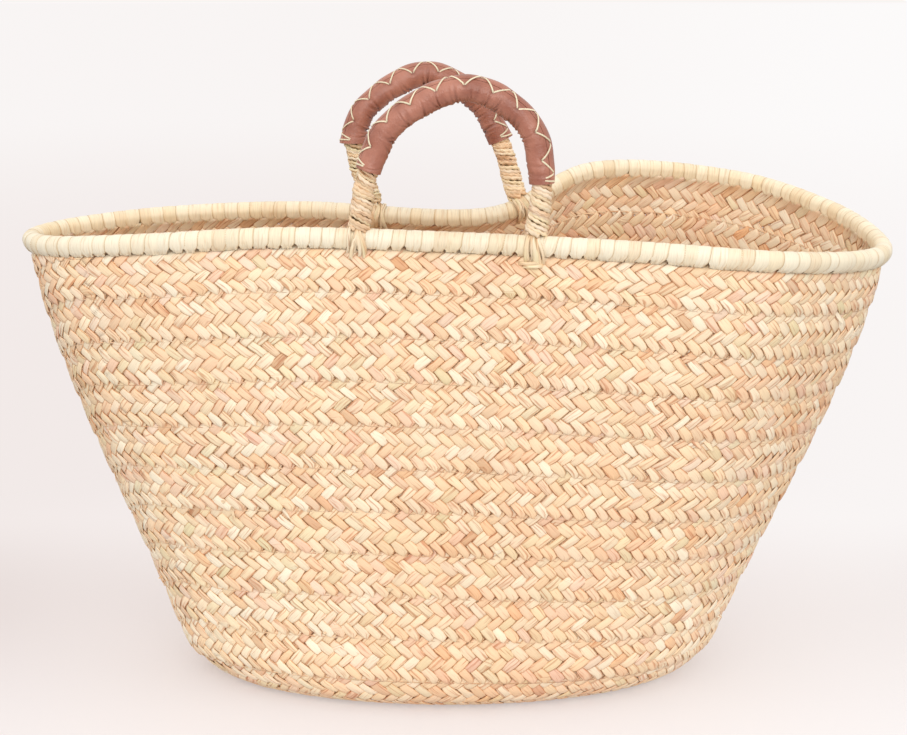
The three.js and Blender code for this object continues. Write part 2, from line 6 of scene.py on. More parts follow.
import bpy
import numpy as np
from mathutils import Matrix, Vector


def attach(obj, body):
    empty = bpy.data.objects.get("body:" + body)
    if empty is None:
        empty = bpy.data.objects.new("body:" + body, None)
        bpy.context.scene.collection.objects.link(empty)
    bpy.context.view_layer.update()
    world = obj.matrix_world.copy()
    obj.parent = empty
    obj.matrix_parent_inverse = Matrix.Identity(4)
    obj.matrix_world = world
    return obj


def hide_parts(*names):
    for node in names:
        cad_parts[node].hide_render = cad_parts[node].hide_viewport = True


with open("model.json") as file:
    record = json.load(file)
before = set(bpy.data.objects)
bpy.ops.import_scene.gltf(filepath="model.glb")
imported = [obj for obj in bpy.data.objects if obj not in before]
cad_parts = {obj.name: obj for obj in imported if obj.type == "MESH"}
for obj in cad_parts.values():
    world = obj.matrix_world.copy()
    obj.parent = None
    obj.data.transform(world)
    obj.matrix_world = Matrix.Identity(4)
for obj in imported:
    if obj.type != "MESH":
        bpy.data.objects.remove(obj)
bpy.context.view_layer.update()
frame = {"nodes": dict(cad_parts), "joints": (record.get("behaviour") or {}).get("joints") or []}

bpy.ops.object.select_all(action="DESELECT")

# Shape of the basket: one smooth surface from the middle of the flat oval base, round the
# turned-up corner and up to the roll at the mouth, which is pinched in the middle and pulled up
# at the back right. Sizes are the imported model's driving sizes, in millimetres.
MM = 0.001
TURN = 2 * math.pi
BASE_LENGTH = 358
BASE_WIDTH = 208
BASE_OFFSET = -8
CORNER_REACH = 36
MOUTH_LENGTH = 584
MOUTH_WIDTH = 138
MOUTH_HEIGHT = 314
BELLY = 9
# Sixteen stations of the mouth from the right end by way of the back: share of half the length,
# share of half the width, and lift
MOUTH_STATIONS = np.array([
    [0.99, 0.0, -12], [0.92, 0.92, 4], [0.7, 1.62, 22], [0.34, 1.36, 30],
    [0.07, 0.98, -0.5], [-0.38, 0.97, 4], [-0.7, 0.87, 1.5], [-0.92, 0.52, -3.5],
    [-1.0, 0.0, -7], [-0.92, -0.55, -7], [-0.7, -0.87, -2.5], [-0.38, -1.01, 3],
    [0.0, -1.03, 0], [0.38, -1.22, -4], [0.7, -1.28, -10], [0.92, -0.58, -16],
])
PLAIT_EDGE = 3.2
STEPS_ROUND = 40
END_CROWDING = 0.1
BASE_REACH = BASE_WIDTH / 2
FLAT_REACH = BASE_REACH - CORNER_REACH
BASE_SPINE = (BASE_LENGTH - BASE_WIDTH) / 2
AROUND = 1440
UP_STEPS = 480


def unit(v):
    return v / np.maximum(np.linalg.norm(v, axis=-1, keepdims=True), 1e-9)


def smooth(value, low, high):
    share = np.clip((value - low) / (high - low), 0, 1)
    return share * share * (3 - 2 * share)


def smooth_curve(p0, p1, p2, p3, t):
    """A share t of the way from p1 to p2, on a smooth curve through all four."""
    bend = (2 * p0 - 5 * p1 + 4 * p2 - p3) * t**2 + (3 * p1 - p0 - 3 * p2 + p3) * t**3
    return 0.5 * (2 * p1 + (p2 - p0) * t + bend)


def mouth_point(phi):
    stations = MOUTH_STATIONS * (MOUTH_LENGTH / 2, MOUTH_WIDTH / 2, 1) + (0, 0, MOUTH_HEIGHT)
    share = np.mod(np.asarray(phi) / TURN, 1.0) * len(stations)
    first = np.floor(share).astype(int)
    nearest = [stations[(first + k) % len(stations)] for k in (-1, 0, 1, 2)]
    return smooth_curve(*nearest, (share - first)[..., None])


def base_point(phi, reach):
    x = BASE_OFFSET + (BASE_SPINE + reach) * np.cos(phi)
    return np.stack([x, reach * np.sin(phi), np.full_like(x, PLAIT_EDGE / 2)], -1)


def bezier(points, steps):
    t = np.linspace(0, 1, steps)[:, None, None]
    layers = [np.broadcast_to(p, (steps, *p.shape)) for p in points]
    while len(layers) > 1:
        layers = [a + (b - a) * t for a, b in zip(layers, layers[1:])]
    return layers[0]


def profile_lines(phi):
    flat_end = base_point(phi, FLAT_REACH)
    corner = base_point(phi, BASE_REACH)
    top = mouth_point(phi)
    rise = unit(top - corner)
    foot = corner + rise * CORNER_REACH
    third = np.linalg.norm(top - foot, axis=-1, keepdims=True) / 3
    outward = unit(np.stack([np.cos(phi) / BASE_LENGTH, np.sin(phi) / BASE_WIDTH, 0 * phi], -1))
    shoulder = top - rise * third + outward * BELLY * 2
    flat = bezier([base_point(phi, 0), flat_end], 40)
    bend = bezier([flat_end, corner, foot], 60)
    side = bezier([foot, foot + rise * third, shoulder, top], 200)
    return np.concatenate([flat, bend[1:], side[1:]])


grid_angles = np.arange(AROUND) / AROUND * TURN
lines = profile_lines(grid_angles).transpose(1, 0, 2)
lengths = np.linalg.norm(np.diff(lines, axis=1), axis=-1).cumsum(axis=1)
lengths = np.concatenate([np.zeros((AROUND, 1)), lengths], axis=1)
PROFILE_LENGTH = lengths[AROUND * 3 // 4, -1]
shares = np.linspace(0, 1, UP_STEPS + 1)
wall_places = np.stack([
    np.stack([np.interp(shares * reach[-1], reach, line[:, axis]) for axis in range(3)], -1)
    for line, reach in zip(lines, lengths)
])
around_run = np.roll(wall_places, -1, axis=0) - np.roll(wall_places, 1, axis=0)
wall_facings = unit(np.cross(around_run, np.gradient(wall_places, axis=1)))
wall_facings[shares * lengths[:, -1:] < FLAT_REACH] = (0, 0, -1)


def wall(phi, height, out=0.0):
    """A place at an angle round the basket, a height along the wall's profile, and out from it."""
    phi, height, out = np.broadcast_arrays(phi, height, out)
    around = np.mod(phi / TURN, 1.0) * AROUND
    up = np.clip(height / PROFILE_LENGTH, 0, 1) * UP_STEPS
    i = np.floor(around).astype(int) % AROUND
    j = np.minimum(up.astype(int), UP_STEPS - 1)
    a = (around - np.floor(around))[..., None]
    b = (up - j)[..., None]
    k = (i + 1) % AROUND

    def between(grid):
        low = grid[i, j] * (1 - a) + grid[k, j] * a
        high = grid[i, j + 1] * (1 - a) + grid[k, j + 1] * a
        return low * (1 - b) + high * b

    return between(wall_places) + between(wall_facings) * out[..., None]


def step_angle(step):
    even = step / STEPS_ROUND * TURN
    return even - END_CROWDING * np.sin(2 * even)


# The front handle's hinge runs through the roll at its two feet, and so gives the basket's place
FRONT_CENTRE = -9
FRONT_SPAN = 114
joints = {joint["child"]: joint for joint in frame["joints"]}
half_round = np.arange(STEPS_ROUND // 2, STEPS_ROUND + 1)
front_roll = mouth_point(step_angle(half_round))
front_feet = np.array([FRONT_CENTRE - FRONT_SPAN / 2, FRONT_CENTRE + FRONT_SPAN / 2])
front_middle = np.array([
    np.interp(front_feet, front_roll[:, 0], front_roll[:, axis]).mean() for axis in range(3)
])
SHIFT = np.array(joints["front_handle"]["pos_m"]) / MM - front_middle

# Plait: split palm leaf, dried in the sun and plaited dry from nine strands into a flat strip
# about 35 mm wide, over two and under two. The strip climbs one course in each turn, at the left
# end, and its edges lap and are sewn together. Every strand here is a ribbon with its own weave.
STRANDS = 9
CROSSINGS = 9
STRAND_PITCH = 8.6
STRAND_WIDTH = 6.05
STRAND_THICKNESS = 0.85
FOLD_WIDTH = 0.12
FOLD_ROUNDING = 1.2
WEAVE_LIFT = 0.78
FACET_CROWN = 0.3
FACET_BARREL = 0.14
STRIP_CROWN = 0.9
SEAM_SHINGLE = 1.0
SEAM_LAP = 1.21
# Under the roll: how far the last edge is tucked in and pressed down, and from where to where
TOP_TUCK = 3.5
TUCK_FROM, TUCK_TO = 10, 3
TOP_PRESS = 2.0
PRESS_FROM, PRESS_TO = 34, 12
LEAF_RUN = 62
LEAF_STAGGER = 17
PITCH_DRIFT = 2.4
DRIFT_WAVES = (57, 23)
# How much a strand's width, its middle, its lift and its tilt stray
WIDTH_STRAY = 0.15
WIDTH_LIMITS = (-0.32, 0.14)
SIDE_STRAY = 0.28
LIFT_STRAY = 0.05
TILT_STRAY = 0.06
HEART_SLIT = 1.5
START_STEP = 24
CLIMB_STEPS = 6
TURNS = 14
BUNDLE_RADIUS = 4.6
WALL_TOP = PROFILE_LENGTH - BUNDLE_RADIUS * math.cos(math.pi / 6)
COURSE = WALL_TOP / TURNS
STRIP_WIDTH = COURSE * SEAM_LAP
ROW_RISE = STRIP_WIDTH / CROSSINGS
LEAN = math.atan2(ROW_RISE, STRAND_PITCH / 2)
# Between two folds a strand dips three times, and shows a facet before, between and after
DIPS = [2.5, 4.5, 6.5]
FACET_CENTRES = np.array([1.4, 3.5, 5.5, 7.7])
FACET_REACH = 1.2
# Rows of points along one crossing of the strip: close together where a strand folds round the
# strip's edge or dips under its neighbours
LEG_ROWS = np.array([
    0, 0.12, 0.3, 0.5, 0.9, 1.4, 2.1, 2.37, 2.63, 2.9, 3.5, 4.1, 4.37, 4.63, 4.9, 5.5, 6.1, 6.37,
    6.63, 6.9, 7.6, 8.1, 8.5, 8.7, 8.88,
])
ACROSS_SHARE = np.array([-1, -0.72, 0, 0.72, 1, 0.72, 0, -0.72])
THICKNESS_SHARE = np.array([0, 0.85, 1.2, 0.85, 0, -0.85, -1.2, -0.85])
# Painted shade: the points on each strand's two side edges are darkened to a warm tan, standing in for
# the warm shade in the crevices between strands.
EDGE_SHARE = np.array([1, 0, 0, 0, 1, 0, 0, 0])
PAINTED_EDGE_SHADE = np.array([0.96, 0.72, 0.56])


def linear(code):
    """An sRGB hex colour as linear red, green and blue."""
    channels = [int(code[i:i + 2], 16) / 255 for i in (0, 2, 4)]
    return np.array([c / 12.92 if c <= 0.04045 else ((c + 0.055) / 1.055) ** 2.4 for c in channels])


# Colours of dried leaf, from the commonest to the rarest: cream, straw, sand, peach, pinkish,
# green-gold, orange and brown
LEAF_COLOURS = np.array([linear(code) for code in (
    "FAEACF", "F8DFBA", "F6D7B0", "F4CEA9", "F2CBB1", "ECDAB0", "F1C091", "D6A277",
)])
LEAF_SHARES = [0.27, 0.24, 0.18, 0.16, 0.06, 0.045, 0.035, 0.01]
# Painted light: the plait is painted paler at the left of the walls, as if more light fell there, and
# paler too at the bottom right; its tone is made deeper, with less red, green and blue, in the middle of
# the walls, most of all low down. Places and heights are in millimetres.
MIDDLE_DEEPENING = np.array([0.035, 0.09, 0.13])
DEEP_MIDDLE, DEEP_REACH, DEEP_HEIGHTS = 15, 95, (50, 200)
SIDE_PALING = np.array([0.02, 0.055, 0.08])
LEFT_PLACES, LEFT_HEIGHTS = (30, 130), (180, 260)
RIGHT_PLACES, RIGHT_HEIGHTS = (80, 150), (60, 130)
dice = np.random.default_rng(11)


def climb_level(step):
    turn = np.floor(step / STEPS_ROUND)
    share = (step - turn * STEPS_ROUND - (STEPS_ROUND - CLIMB_STEPS)) / CLIMB_STEPS
    return turn + smooth(share, 0, 1)


def strip_place(step, share, out):
    """A place on the strip: steps along it, share of its width from the lower edge, and out."""
    low = climb_level(step) * COURSE - (STRIP_WIDTH - COURSE) / 2
    high = np.maximum(low + STRIP_WIDTH, HEART_SLIT)
    low = np.maximum(low, HEART_SLIT / 2)
    height = low + share * (high - low)
    # The strip bulges a little on the wall, not on the base, and its lower edge lies outside the
    # turn below. The last edge of all is pressed down and leans in under the roll.
    press = smooth(height, PROFILE_LENGTH - PRESS_FROM, PROFILE_LENGTH - PRESS_TO)
    height = height - TOP_PRESS * press
    bulge = smooth(low, FLAT_REACH, FLAT_REACH + COURSE) * (1 - (2 * share - 1) ** 2)
    tuck = TOP_TUCK * smooth(height, PROFILE_LENGTH - TUCK_FROM, PROFILE_LENGTH - TUCK_TO)
    out = out + STRIP_CROWN * bulge + SEAM_SHINGLE * (1 - 2 * share) - tuck
    return wall(step_angle(START_STEP + step), height, out)


def run_along(path):
    """The length of a path up to each of its points."""
    return np.concatenate([[0], np.linalg.norm(np.diff(path, axis=0), axis=-1).cumsum()])


strip_steps = np.linspace(-CLIMB_STEPS, STEPS_ROUND * TURNS, 12000)
strip_run = run_along(strip_place(strip_steps, 0.5, 0.0))
LAST_TURN_RUN = strip_run[-1] - np.interp(STEPS_ROUND * (TURNS - 1), strip_steps, strip_run)


def strand_strip(strand):
    """One strand from end to end of the strip, as rings of points with their step and tone."""
    per_mm = 2 / STRAND_PITCH
    last = int((strip_run[-1] * per_mm + 2 * strand) // CROSSINGS)
    legs = np.arange(0, last + 1)
    row = (legs[:, None] * CROSSINGS + LEG_ROWS).ravel()
    leg = np.repeat(legs, len(LEG_ROWS))
    run = (row - 2 * strand) / per_mm
    keep = (run > 0) & (run < strip_run[-1])
    row, leg, run = row[keep], leg[keep], run[keep]
    in_leg = row - leg * CROSSINGS
    from_edge = np.minimum(in_leg, CROSSINGS - in_leg)

    # Rows lie along the strip's edge where the strand folds, and along its neighbours elsewhere
    at_fold = -1 / math.tan(LEAN)
    skew = at_fold - (at_fold + 1 / math.tan(2 * LEAN)) * smooth(from_edge, 0.5, 2.1)
    knots = np.arange(row[0] - 2, row[-1] + 3, 1.6)

    def wander(size):
        return np.interp(row, knots, dice.normal(0, size, len(knots)))

    half_width = STRAND_WIDTH / 2 * (1 + np.clip(wander(WIDTH_STRAY), *WIDTH_LIMITS))
    facet = np.digitize(in_leg, DIPS)
    swell = np.clip(1 - ((in_leg - FACET_CENTRES[facet]) / FACET_REACH) ** 2, 0, 1)
    half_width = half_width * (1 + FACET_BARREL * (swell - 0.4))
    # The leaf rolls round the edge instead of lying in a sharp fold, so its end is blunt: the sharp
    # corner is cut back, on its right side as it comes to the edge and on its left as it leaves
    coming = in_leg > CROSSINGS / 2
    kept = 1 - (1 - FOLD_WIDTH) * np.clip(1 - from_edge / FOLD_ROUNDING, 0, 1) ** 1.5
    # Where the binding presses the last edge flat the fold keeps its full width
    at_top = (run > strip_run[-1] - LAST_TURN_RUN) & (np.round(row / CROSSINGS) % 2 == 1)
    kept = np.where(at_top, 1, kept)
    low = np.where(coming, 1 - 2 * kept, -1)[:, None]
    high = np.where(coming, 1, 2 * kept - 1)[:, None]
    across = low + (high - low) * (ACROSS_SHARE + 1) / 2
    offset = across * half_width[:, None] + wander(SIDE_STRAY)[:, None]
    along = run[:, None] + offset * (skew * math.cos(LEAN) - math.sin(LEAN))[:, None]
    rise = row[:, None] * ROW_RISE + offset * (skew * math.sin(LEAN) + math.cos(LEAN))[:, None]
    share = np.mod(rise, 2 * STRIP_WIDTH) / STRIP_WIDTH
    share = np.where(share > 1, 2 - share, share)

    # Under, over, under, over between one fold and the next, and round the edge at each fold
    lift = 2 * (smooth(in_leg, 2.1, 2.9) - smooth(in_leg, 4.1, 4.9) + smooth(in_leg, 6.1, 6.9)) - 1
    past_fold = rise / ROW_RISE - np.round(row / CROSSINGS)[:, None] * CROSSINGS
    rounding = -np.sin(np.clip(past_fold / 0.5, -1, 1) * math.pi / 2)
    lift = np.where(from_edge[:, None] < 2, rounding, lift[:, None])
    arch = WEAVE_LIFT * (1 + FACET_CROWN * swell) + wander(LIFT_STRAY)
    out = arch[:, None] * lift + wander(TILT_STRAY)[:, None] * offset
    long_wave, short_wave = DRIFT_WAVES
    drift = PITCH_DRIFT * (np.sin(along / long_wave) + 0.6 * np.sin(along / short_wave + 1))
    step = np.interp(along + drift, strip_run, strip_steps)
    middle = strip_place(step, share, out)
    facing = unit(np.cross(np.gradient(middle.mean(axis=1), axis=0), middle[:, 4] - middle[:, 0]))
    rings = middle + facing[:, None, :] * (THICKNESS_SHARE * STRAND_THICKNESS / 2)[:, None]
    rings[..., 2] = np.maximum(rings[..., 2], 0.02)

    # One colour for each leaf, and a shade of its own for each stretch between two dips
    leaf = ((row + LEAF_STAGGER * strand) // LEAF_RUN).astype(int)
    leaf_tone = LEAF_COLOURS[dice.choice(len(LEAF_COLOURS), leaf[-1] + 1, p=LEAF_SHARES)]
    stretch = leg * len(FACET_CENTRES) + facet
    own_tone = LEAF_COLOURS[dice.choice(len(LEAF_COLOURS), stretch[-1] + 1, p=LEAF_SHARES)]
    shade = dice.normal(1, 0.03, stretch[-1] + 1)
    tone = (0.4 * leaf_tone[leaf] + 0.6 * own_tone[stretch]) * shade[stretch, None]
    # Painted light: paler at the left of the walls and at the bottom right, deeper in their middle
    across_wall, _, height = middle.mean(axis=1).T
    deep = np.exp(-(((across_wall - DEEP_MIDDLE) / DEEP_REACH) ** 2))
    deep = deep * (1 - 0.6 * smooth(height, *DEEP_HEIGHTS))
    pale = smooth(-across_wall, *LEFT_PLACES) * (1 - 0.4 * smooth(height, *LEFT_HEIGHTS))
    pale = pale + 0.9 * smooth(across_wall, *RIGHT_PLACES) * (1 - smooth(height, *RIGHT_HEIGHTS))
    tone = tone * (1 - deep[:, None] * MIDDLE_DEEPENING) * (1 + pale[:, None] * SIDE_PALING)
    return {
        "rings": (rings + SHIFT) * MM,
        "along": run + 977 * strand,
        "across": (ACROSS_SHARE + 1) / 2 + leaf[:, None] * 1.37,
        # The side edges get the painted warm shade of the crevices
        "tone": tone[:, None] * np.where(EDGE_SHARE[:, None] == 1, PAINTED_EDGE_SHADE, 1),
        "step": np.interp(run, strip_run, strip_steps),
    }


def tube_quads(rows, sides):
    here = np.arange(sides)
    ahead = np.roll(here, -1)
    ring = np.arange(rows - 1)[:, None] * sides
    walls = np.stack([ring + here, ring + here + sides, ring + ahead + sides, ring + ahead], -1)
    fan = np.arange(1, sides - 1, 2)
    cap = np.stack([0 * fan, fan, fan + 1, fan + 2], -1)
    return np.concatenate([walls.reshape(-1, 4), cap, cap[:, ::-1] + (rows - 1) * sides])


def new_object(name, data):
    thing = bpy.data.objects.new(name, data)
    bpy.context.scene.collection.objects.link(thing)
    return thing


def leaf_piece(name, strips, material, body, nodes):
    """One object from closed strips of leaf, with the grain along each and a tone on each point."""
    points = np.concatenate([strip["rings"].reshape(-1, 3) for strip in strips])
    tones = np.concatenate([strip["tone"].reshape(-1, 3) for strip in strips])
    grain = []
    quads = []
    start = 0
    for strip in strips:
        rows, sides = strip["rings"].shape[:2]
        along = np.broadcast_to(np.asarray(strip["along"])[:, None] / 10, (rows, sides))
        across = np.broadcast_to(strip["across"], (rows, sides))
        grain.append(np.stack([along, across], -1).reshape(-1, 2))
        quads.append(tube_quads(rows, sides) + start)
        start += rows * sides
    grain = np.concatenate(grain)
    corners = np.concatenate(quads).ravel()
    mesh = bpy.data.meshes.new(name)
    mesh.vertices.add(len(points))
    mesh.vertices.foreach_set("co", points.ravel())
    mesh.loops.add(len(corners))
    mesh.loops.foreach_set("vertex_index", corners)
    mesh.polygons.add(len(corners) // 4)
    mesh.polygons.foreach_set("loop_start", np.arange(0, len(corners), 4))
    mesh.polygons.foreach_set("use_smooth", np.ones(len(corners) // 4, dtype=bool))
    mesh.update(calc_edges=True)
    mesh.uv_layers.new(name="grain").data.foreach_set("uv", grain[corners].ravel())
    colours = mesh.color_attributes.new(name="leaf_tone", type="FLOAT_COLOR", domain="POINT")
    colours.data.foreach_set("color", np.column_stack([tones, np.ones(len(tones))]).ravel())
    mesh.materials.append(material)
    piece = new_object(name, mesh)
    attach(piece, body)
    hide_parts(*nodes)


def add_node(tree, kind, inputs=(), result=None, **settings):
    """Adds a node with its settings and links, and gives its first output or the one named."""
    node = tree.nodes.new("ShaderNode" + kind)
    for setting, value in settings.items():
        setattr(node, setting, value)
    for socket, value in dict(inputs).items():
        if isinstance(value, bpy.types.NodeSocket):
            tree.links.new(value, node.inputs[socket])
        else:
            node.inputs[socket].default_value = value
    return node.outputs[result] if result else next(out for out in node.outputs if out.enabled)


def new_material(name):
    material = bpy.data.materials.new(name)
    material.use_nodes = True
    return material, material.node_tree, material.node_tree.nodes["Principled BSDF"]


def leaf_material(name, roughness, streaks, streak_colour, relief):
    """Dried leaf: long fine ribs along the blade, streaks of darker colour and a waxy half gloss."""
    material, tree, shader = new_material(name)
    tone = add_node(tree, "Attribute", attribute_name="leaf_tone", attribute_type="GEOMETRY")
    grain = add_node(tree, "UVMap", uv_map="grain")
    # Streaks 20 mm long and about 2 mm wide, ribs 12 mm long and 0.3 mm wide
    broad = add_node(tree, "Mapping", {"Vector": grain, "Scale": (0.5, 3.4, 1)})
    fine = add_node(tree, "Mapping", {"Vector": grain, "Scale": (0.8, 19, 1)})
    broad_noise = add_node(tree, "TexNoise", {
        "Vector": broad, "Scale": 1.0, "Detail": 3.0, "Roughness": 0.6,
    })
    fine_noise = add_node(tree, "TexNoise", {
        "Vector": fine, "Scale": 1.0, "Detail": 2.0, "Roughness": 0.5,
    })
    streak = add_node(tree, "MapRange", {
        "Value": broad_noise, "From Min": 0.54, "From Max": 0.66, "To Max": streaks,
    })
    rib = add_node(tree, "MapRange", {
        "Value": fine_noise, "From Min": 0.35, "From Max": 0.7, "To Min": 0.9, "To Max": 1.06,
    })
    stained = add_node(tree, "Mix", {
        "Factor": streak, "A": tone, "B": (*linear(streak_colour), 1),
    }, data_type="RGBA", blend_type="MULTIPLY")
    ribbed = add_node(tree, "VectorMath", {0: stained, "Scale": rib}, operation="SCALE")
    bump = add_node(tree, "Bump", {"Height": fine_noise, "Strength": 0.5, "Distance": relief * MM})
    tree.links.new(ribbed, shader.inputs["Base Color"])
    tree.links.new(bump, shader.inputs["Normal"])
    shader.inputs["Roughness"].default_value = roughness
    return material


plaited_leaf = leaf_material("sun_dried_palm_leaf", 0.55, 0.75, "D2A083", 0.12)
strands = [strand_strip(strand) for strand in range(STRANDS)]
for turn in range(TURNS):
    strips = []
    for strand in strands:
        # A row belongs to the turn that its middle lies in, and the next row joins the two
        turns = np.clip(np.floor(strand["step"] / STEPS_ROUND), 0, TURNS - 1)
        rows = np.flatnonzero(turns == turn)
        cut = slice(rows[0], rows[-1] + 2)
        strips.append({key: strand[key][cut] for key in ("rings", "along", "across", "tone")})
    name = f"plait_turn_{turn + 1:02d}"
    leaf_piece(f"{name}_leaf", strips, plaited_leaf, "basket", [name])

# Roll at the mouth: a bundle of coarse fibre laid along the top edge of the wall. It is hidden
# under the binding, and is drawn as one thick cord of twisted fibre.
BUNDLE_CORD = 8.6
FIBRE_TONE = linear("B79A6A")


def roll_frame(phi):
    """Centre of the roll, and the directions along it, outwards and away from the wall."""
    centre = mouth_point(phi)
    along = unit(mouth_point(phi + 0.002) - mouth_point(phi - 0.002))
    away = centre - wall(phi, PROFILE_LENGTH - 2 * BUNDLE_RADIUS)
    away = unit(away - along * np.sum(away * along, axis=-1, keepdims=True))
    return centre, along, np.cross(along, away), away


def cord_rings(path, outside, along, width, thickness, lobes=2, twist=0.0, sides=8, depth=0.16):
    """Rings of a cord round a path. outside points away from what the cord lies on, and the
    section has shallow lobes that turn along the cord, as twisted strands do."""
    run = unit(np.gradient(path, axis=0))
    outside = unit(outside - run * np.sum(outside * run, axis=-1, keepdims=True))
    side = np.cross(run, outside)
    angle = np.arange(sides) / sides * TURN
    lobe = 1 + depth * np.cos(lobes * (angle + np.asarray(along)[:, None] * twist))
    width = np.broadcast_to(np.asarray(width, dtype=float), len(path))[:, None]
    thickness = np.broadcast_to(np.asarray(thickness, dtype=float), len(path))[:, None]
    up = (np.sin(angle) * lobe * thickness / 2)[..., None] * outside[:, None]
    over = (np.cos(angle) * lobe * width / 2)[..., None] * side[:, None]
    return path[:, None] + over + up


def cord_strip(path, outside, width, thickness, tone, **more):
    """A closed cord round a path in metres, with its length along it in millimetres."""
    along = run_along(path)
    rings = cord_rings(path, outside, along, width, thickness, **more)
    tone = np.broadcast_to(tone, (len(path), rings.shape[1], 3))
    shares = np.arange(rings.shape[1]) / rings.shape[1]
    return {"rings": rings, "along": along / MM, "across": shares + dice.random() * 9, "tone": tone}


loose_fibre = leaf_material("loose_palm_fibre", 0.8, 0.9, "A87C55", 0.3)
bundle_angles = np.linspace(0, TURN, 481)
bundle_centre, _, _, bundle_away = roll_frame(bundle_angles)
bundle = cord_strip(
    (bundle_centre + SHIFT) * MM, bundle_away, BUNDLE_CORD * MM, BUNDLE_CORD * MM, FIBRE_TONE,
    lobes=5, twist=90, sides=20,
)
leaf_piece("rim_fibre_bundle", [bundle], loose_fibre, "basket", ["rim_bundle"])

# Binding: wide pale leaf wound over the bundle and through the wall below it, each turn lapping
# the next by a few millimetres. It is gathered into small pleats where it enters the wall.
WRAP_PITCH = 8.9
WRAP_LAP = 3.0
WRAP_RADIUS = 5.8
WRAP_THICKNESS = 0.25
WRAP_SLANT = 3.2
OUTER_HEM = ((7.3, 0.5), (6.3, 2.2), (5.0, 3.8))
INNER_HEM = ((3.5, -5.1), (4.7, -4.5), (6.0, -2.6))
HEM_REACH = (0.26, 0.42)
HEM_GATHER = (0.26, 0.46)
INNER_REACH = (0.6, 0.86)
INNER_GATHER = 0.24
WRAP_ACROSS = np.array([
    0.5, 0.47, 0.4, 0.31, 0.22, 0.13, 0.04, -0.05, -0.14, -0.23, -0.32, -0.41, -0.47, -0.5,
])
WRAP_BACK = [12, 9, 5, 1]
WRAP_ROWS = 30
WRAP_COLOURS = np.array([linear(code) for code in (
    "F8EED6", "F7EBD1", "F6E8CB", "F4E4C4", "F1DFC0",
)])
WRAP_SHARES = [0.3, 0.3, 0.2, 0.12, 0.08]
# Painted shade: the edge of each wrap that laps over the next is darkened to tan, a shadow line along the
# lap.
PAINTED_LAP_SHADE = np.array([0.74, 0.6, 0.44])
# Painted light: the binding where it turns into the basket is tinted warmer, as if lit by light bounced
# off the plait inside.
PAINTED_INNER_BOUNCE = np.array([0.99, 0.95, 0.88])
roll_angles = np.linspace(0, TURN, 2881)
roll_line = mouth_point(roll_angles)
roll_run = run_along(roll_line)


def wrap_surface(phi, share):
    """The binding's face from the outer hem, share 0, over the roll to the inner hem, share 1."""
    centre, along, outward, away = roll_frame(phi)
    ribs = [wall(phi, PROFILE_LENGTH - depth, out) for depth, out in OUTER_HEM]
    for degrees in (112, 75, 37, 0, -37, -75, -112):
        angle = math.radians(degrees)
        ribs.append(centre + WRAP_RADIUS * (outward * math.sin(angle) + away * math.cos(angle)))
    ribs += [wall(phi, PROFILE_LENGTH - depth, out) for depth, out in INNER_HEM]
    ribs = np.stack(ribs)
    spot = share * (len(ribs) - 1)
    first = np.clip(spot.astype(int), 0, len(ribs) - 2)
    picks = np.indices(first.shape)
    nearest = [ribs[(np.clip(first + k, 0, len(ribs) - 1), *picks)] for k in (-1, 0, 1, 2)]
    return smooth_curve(*nearest, (spot - first)[..., None])


wrap_count = round(roll_run[-1] / WRAP_PITCH)
wrap_strips = []
for wrap in range(wrap_count):
    share = np.linspace(dice.uniform(0, 0.05), 1 - dice.uniform(0, 0.02), WRAP_ROWS)[:, None]
    share = share + 0 * WRAP_ACROSS
    hem = smooth(np.abs(share - 0.5), *HEM_REACH)
    # On the inside the leaf is gathered more tightly, and leaves notches between the wraps
    inner = smooth(share, *INNER_REACH)
    gather = dice.uniform(*HEM_GATHER) * hem + INNER_GATHER * inner
    width = (WRAP_PITCH + WRAP_LAP + dice.uniform(-0.8, 1.4)) * (1 - gather)
    place = (wrap + dice.uniform(-0.1, 0.1)) * roll_run[-1] / wrap_count
    place = place + WRAP_ACROSS * width + (share - 0.5) * (WRAP_SLANT + dice.normal(0, 1.6))
    phi = np.interp(np.mod(place, roll_run[-1]), roll_run, roll_angles)
    face = wrap_surface(phi, share)
    normal = unit(np.cross(np.gradient(face, axis=0), np.gradient(face, axis=1)))
    lap = smooth(WRAP_ACROSS, -0.5, 0.3) * 0.34 + 0.3 * (1 - 4 * WRAP_ACROSS**2)
    folds = np.sin(TURN * (WRAP_ACROSS * dice.uniform(1.6, 3.4) + dice.random()))
    pleats = np.sin(TURN * (WRAP_ACROSS * dice.uniform(3, 5) + share * dice.normal(0, 0.5)))
    lift = lap + hem * (0.35 * folds + 0.3 * pleats) + 0.07 * pleats
    front = face + normal * lift[..., None]
    back = front[:, WRAP_BACK] - normal[:, WRAP_BACK] * WRAP_THICKNESS
    rings = np.concatenate([front, back], axis=1)
    tone = WRAP_COLOURS[dice.choice(len(WRAP_COLOURS), p=WRAP_SHARES)] * dice.normal(1, 0.015)
    # Painted shade along the lapping edge of each wrap
    edge = np.append(smooth(WRAP_ACROSS, 0.42, 0.5), np.zeros(len(WRAP_BACK)))[:, None]
    # Painted warm bounce light on the part turned into the basket
    turned_in = smooth(share[:, :1, None], 0.5, 0.66)
    tone = tone * (1 - edge + edge * PAINTED_LAP_SHADE) * (1 - turned_in + turned_in * PAINTED_INNER_BOUNCE)
    across = np.append(WRAP_ACROSS, WRAP_ACROSS[WRAP_BACK]) + wrap * 1.71
    along = share[:, 0] * 52 + wrap * 61
    wrap_strips.append({
        "rings": (rings + SHIFT) * MM, "along": along, "across": across * 1.6, "tone": tone,
    })
wide_leaf = leaf_material("pale_binding_leaf", 0.5, 0.35, "DDBB92", 0.08)
leaf_piece("rim_leaf_binding", wrap_strips, wide_leaf, "basket", ["rim_binding"])
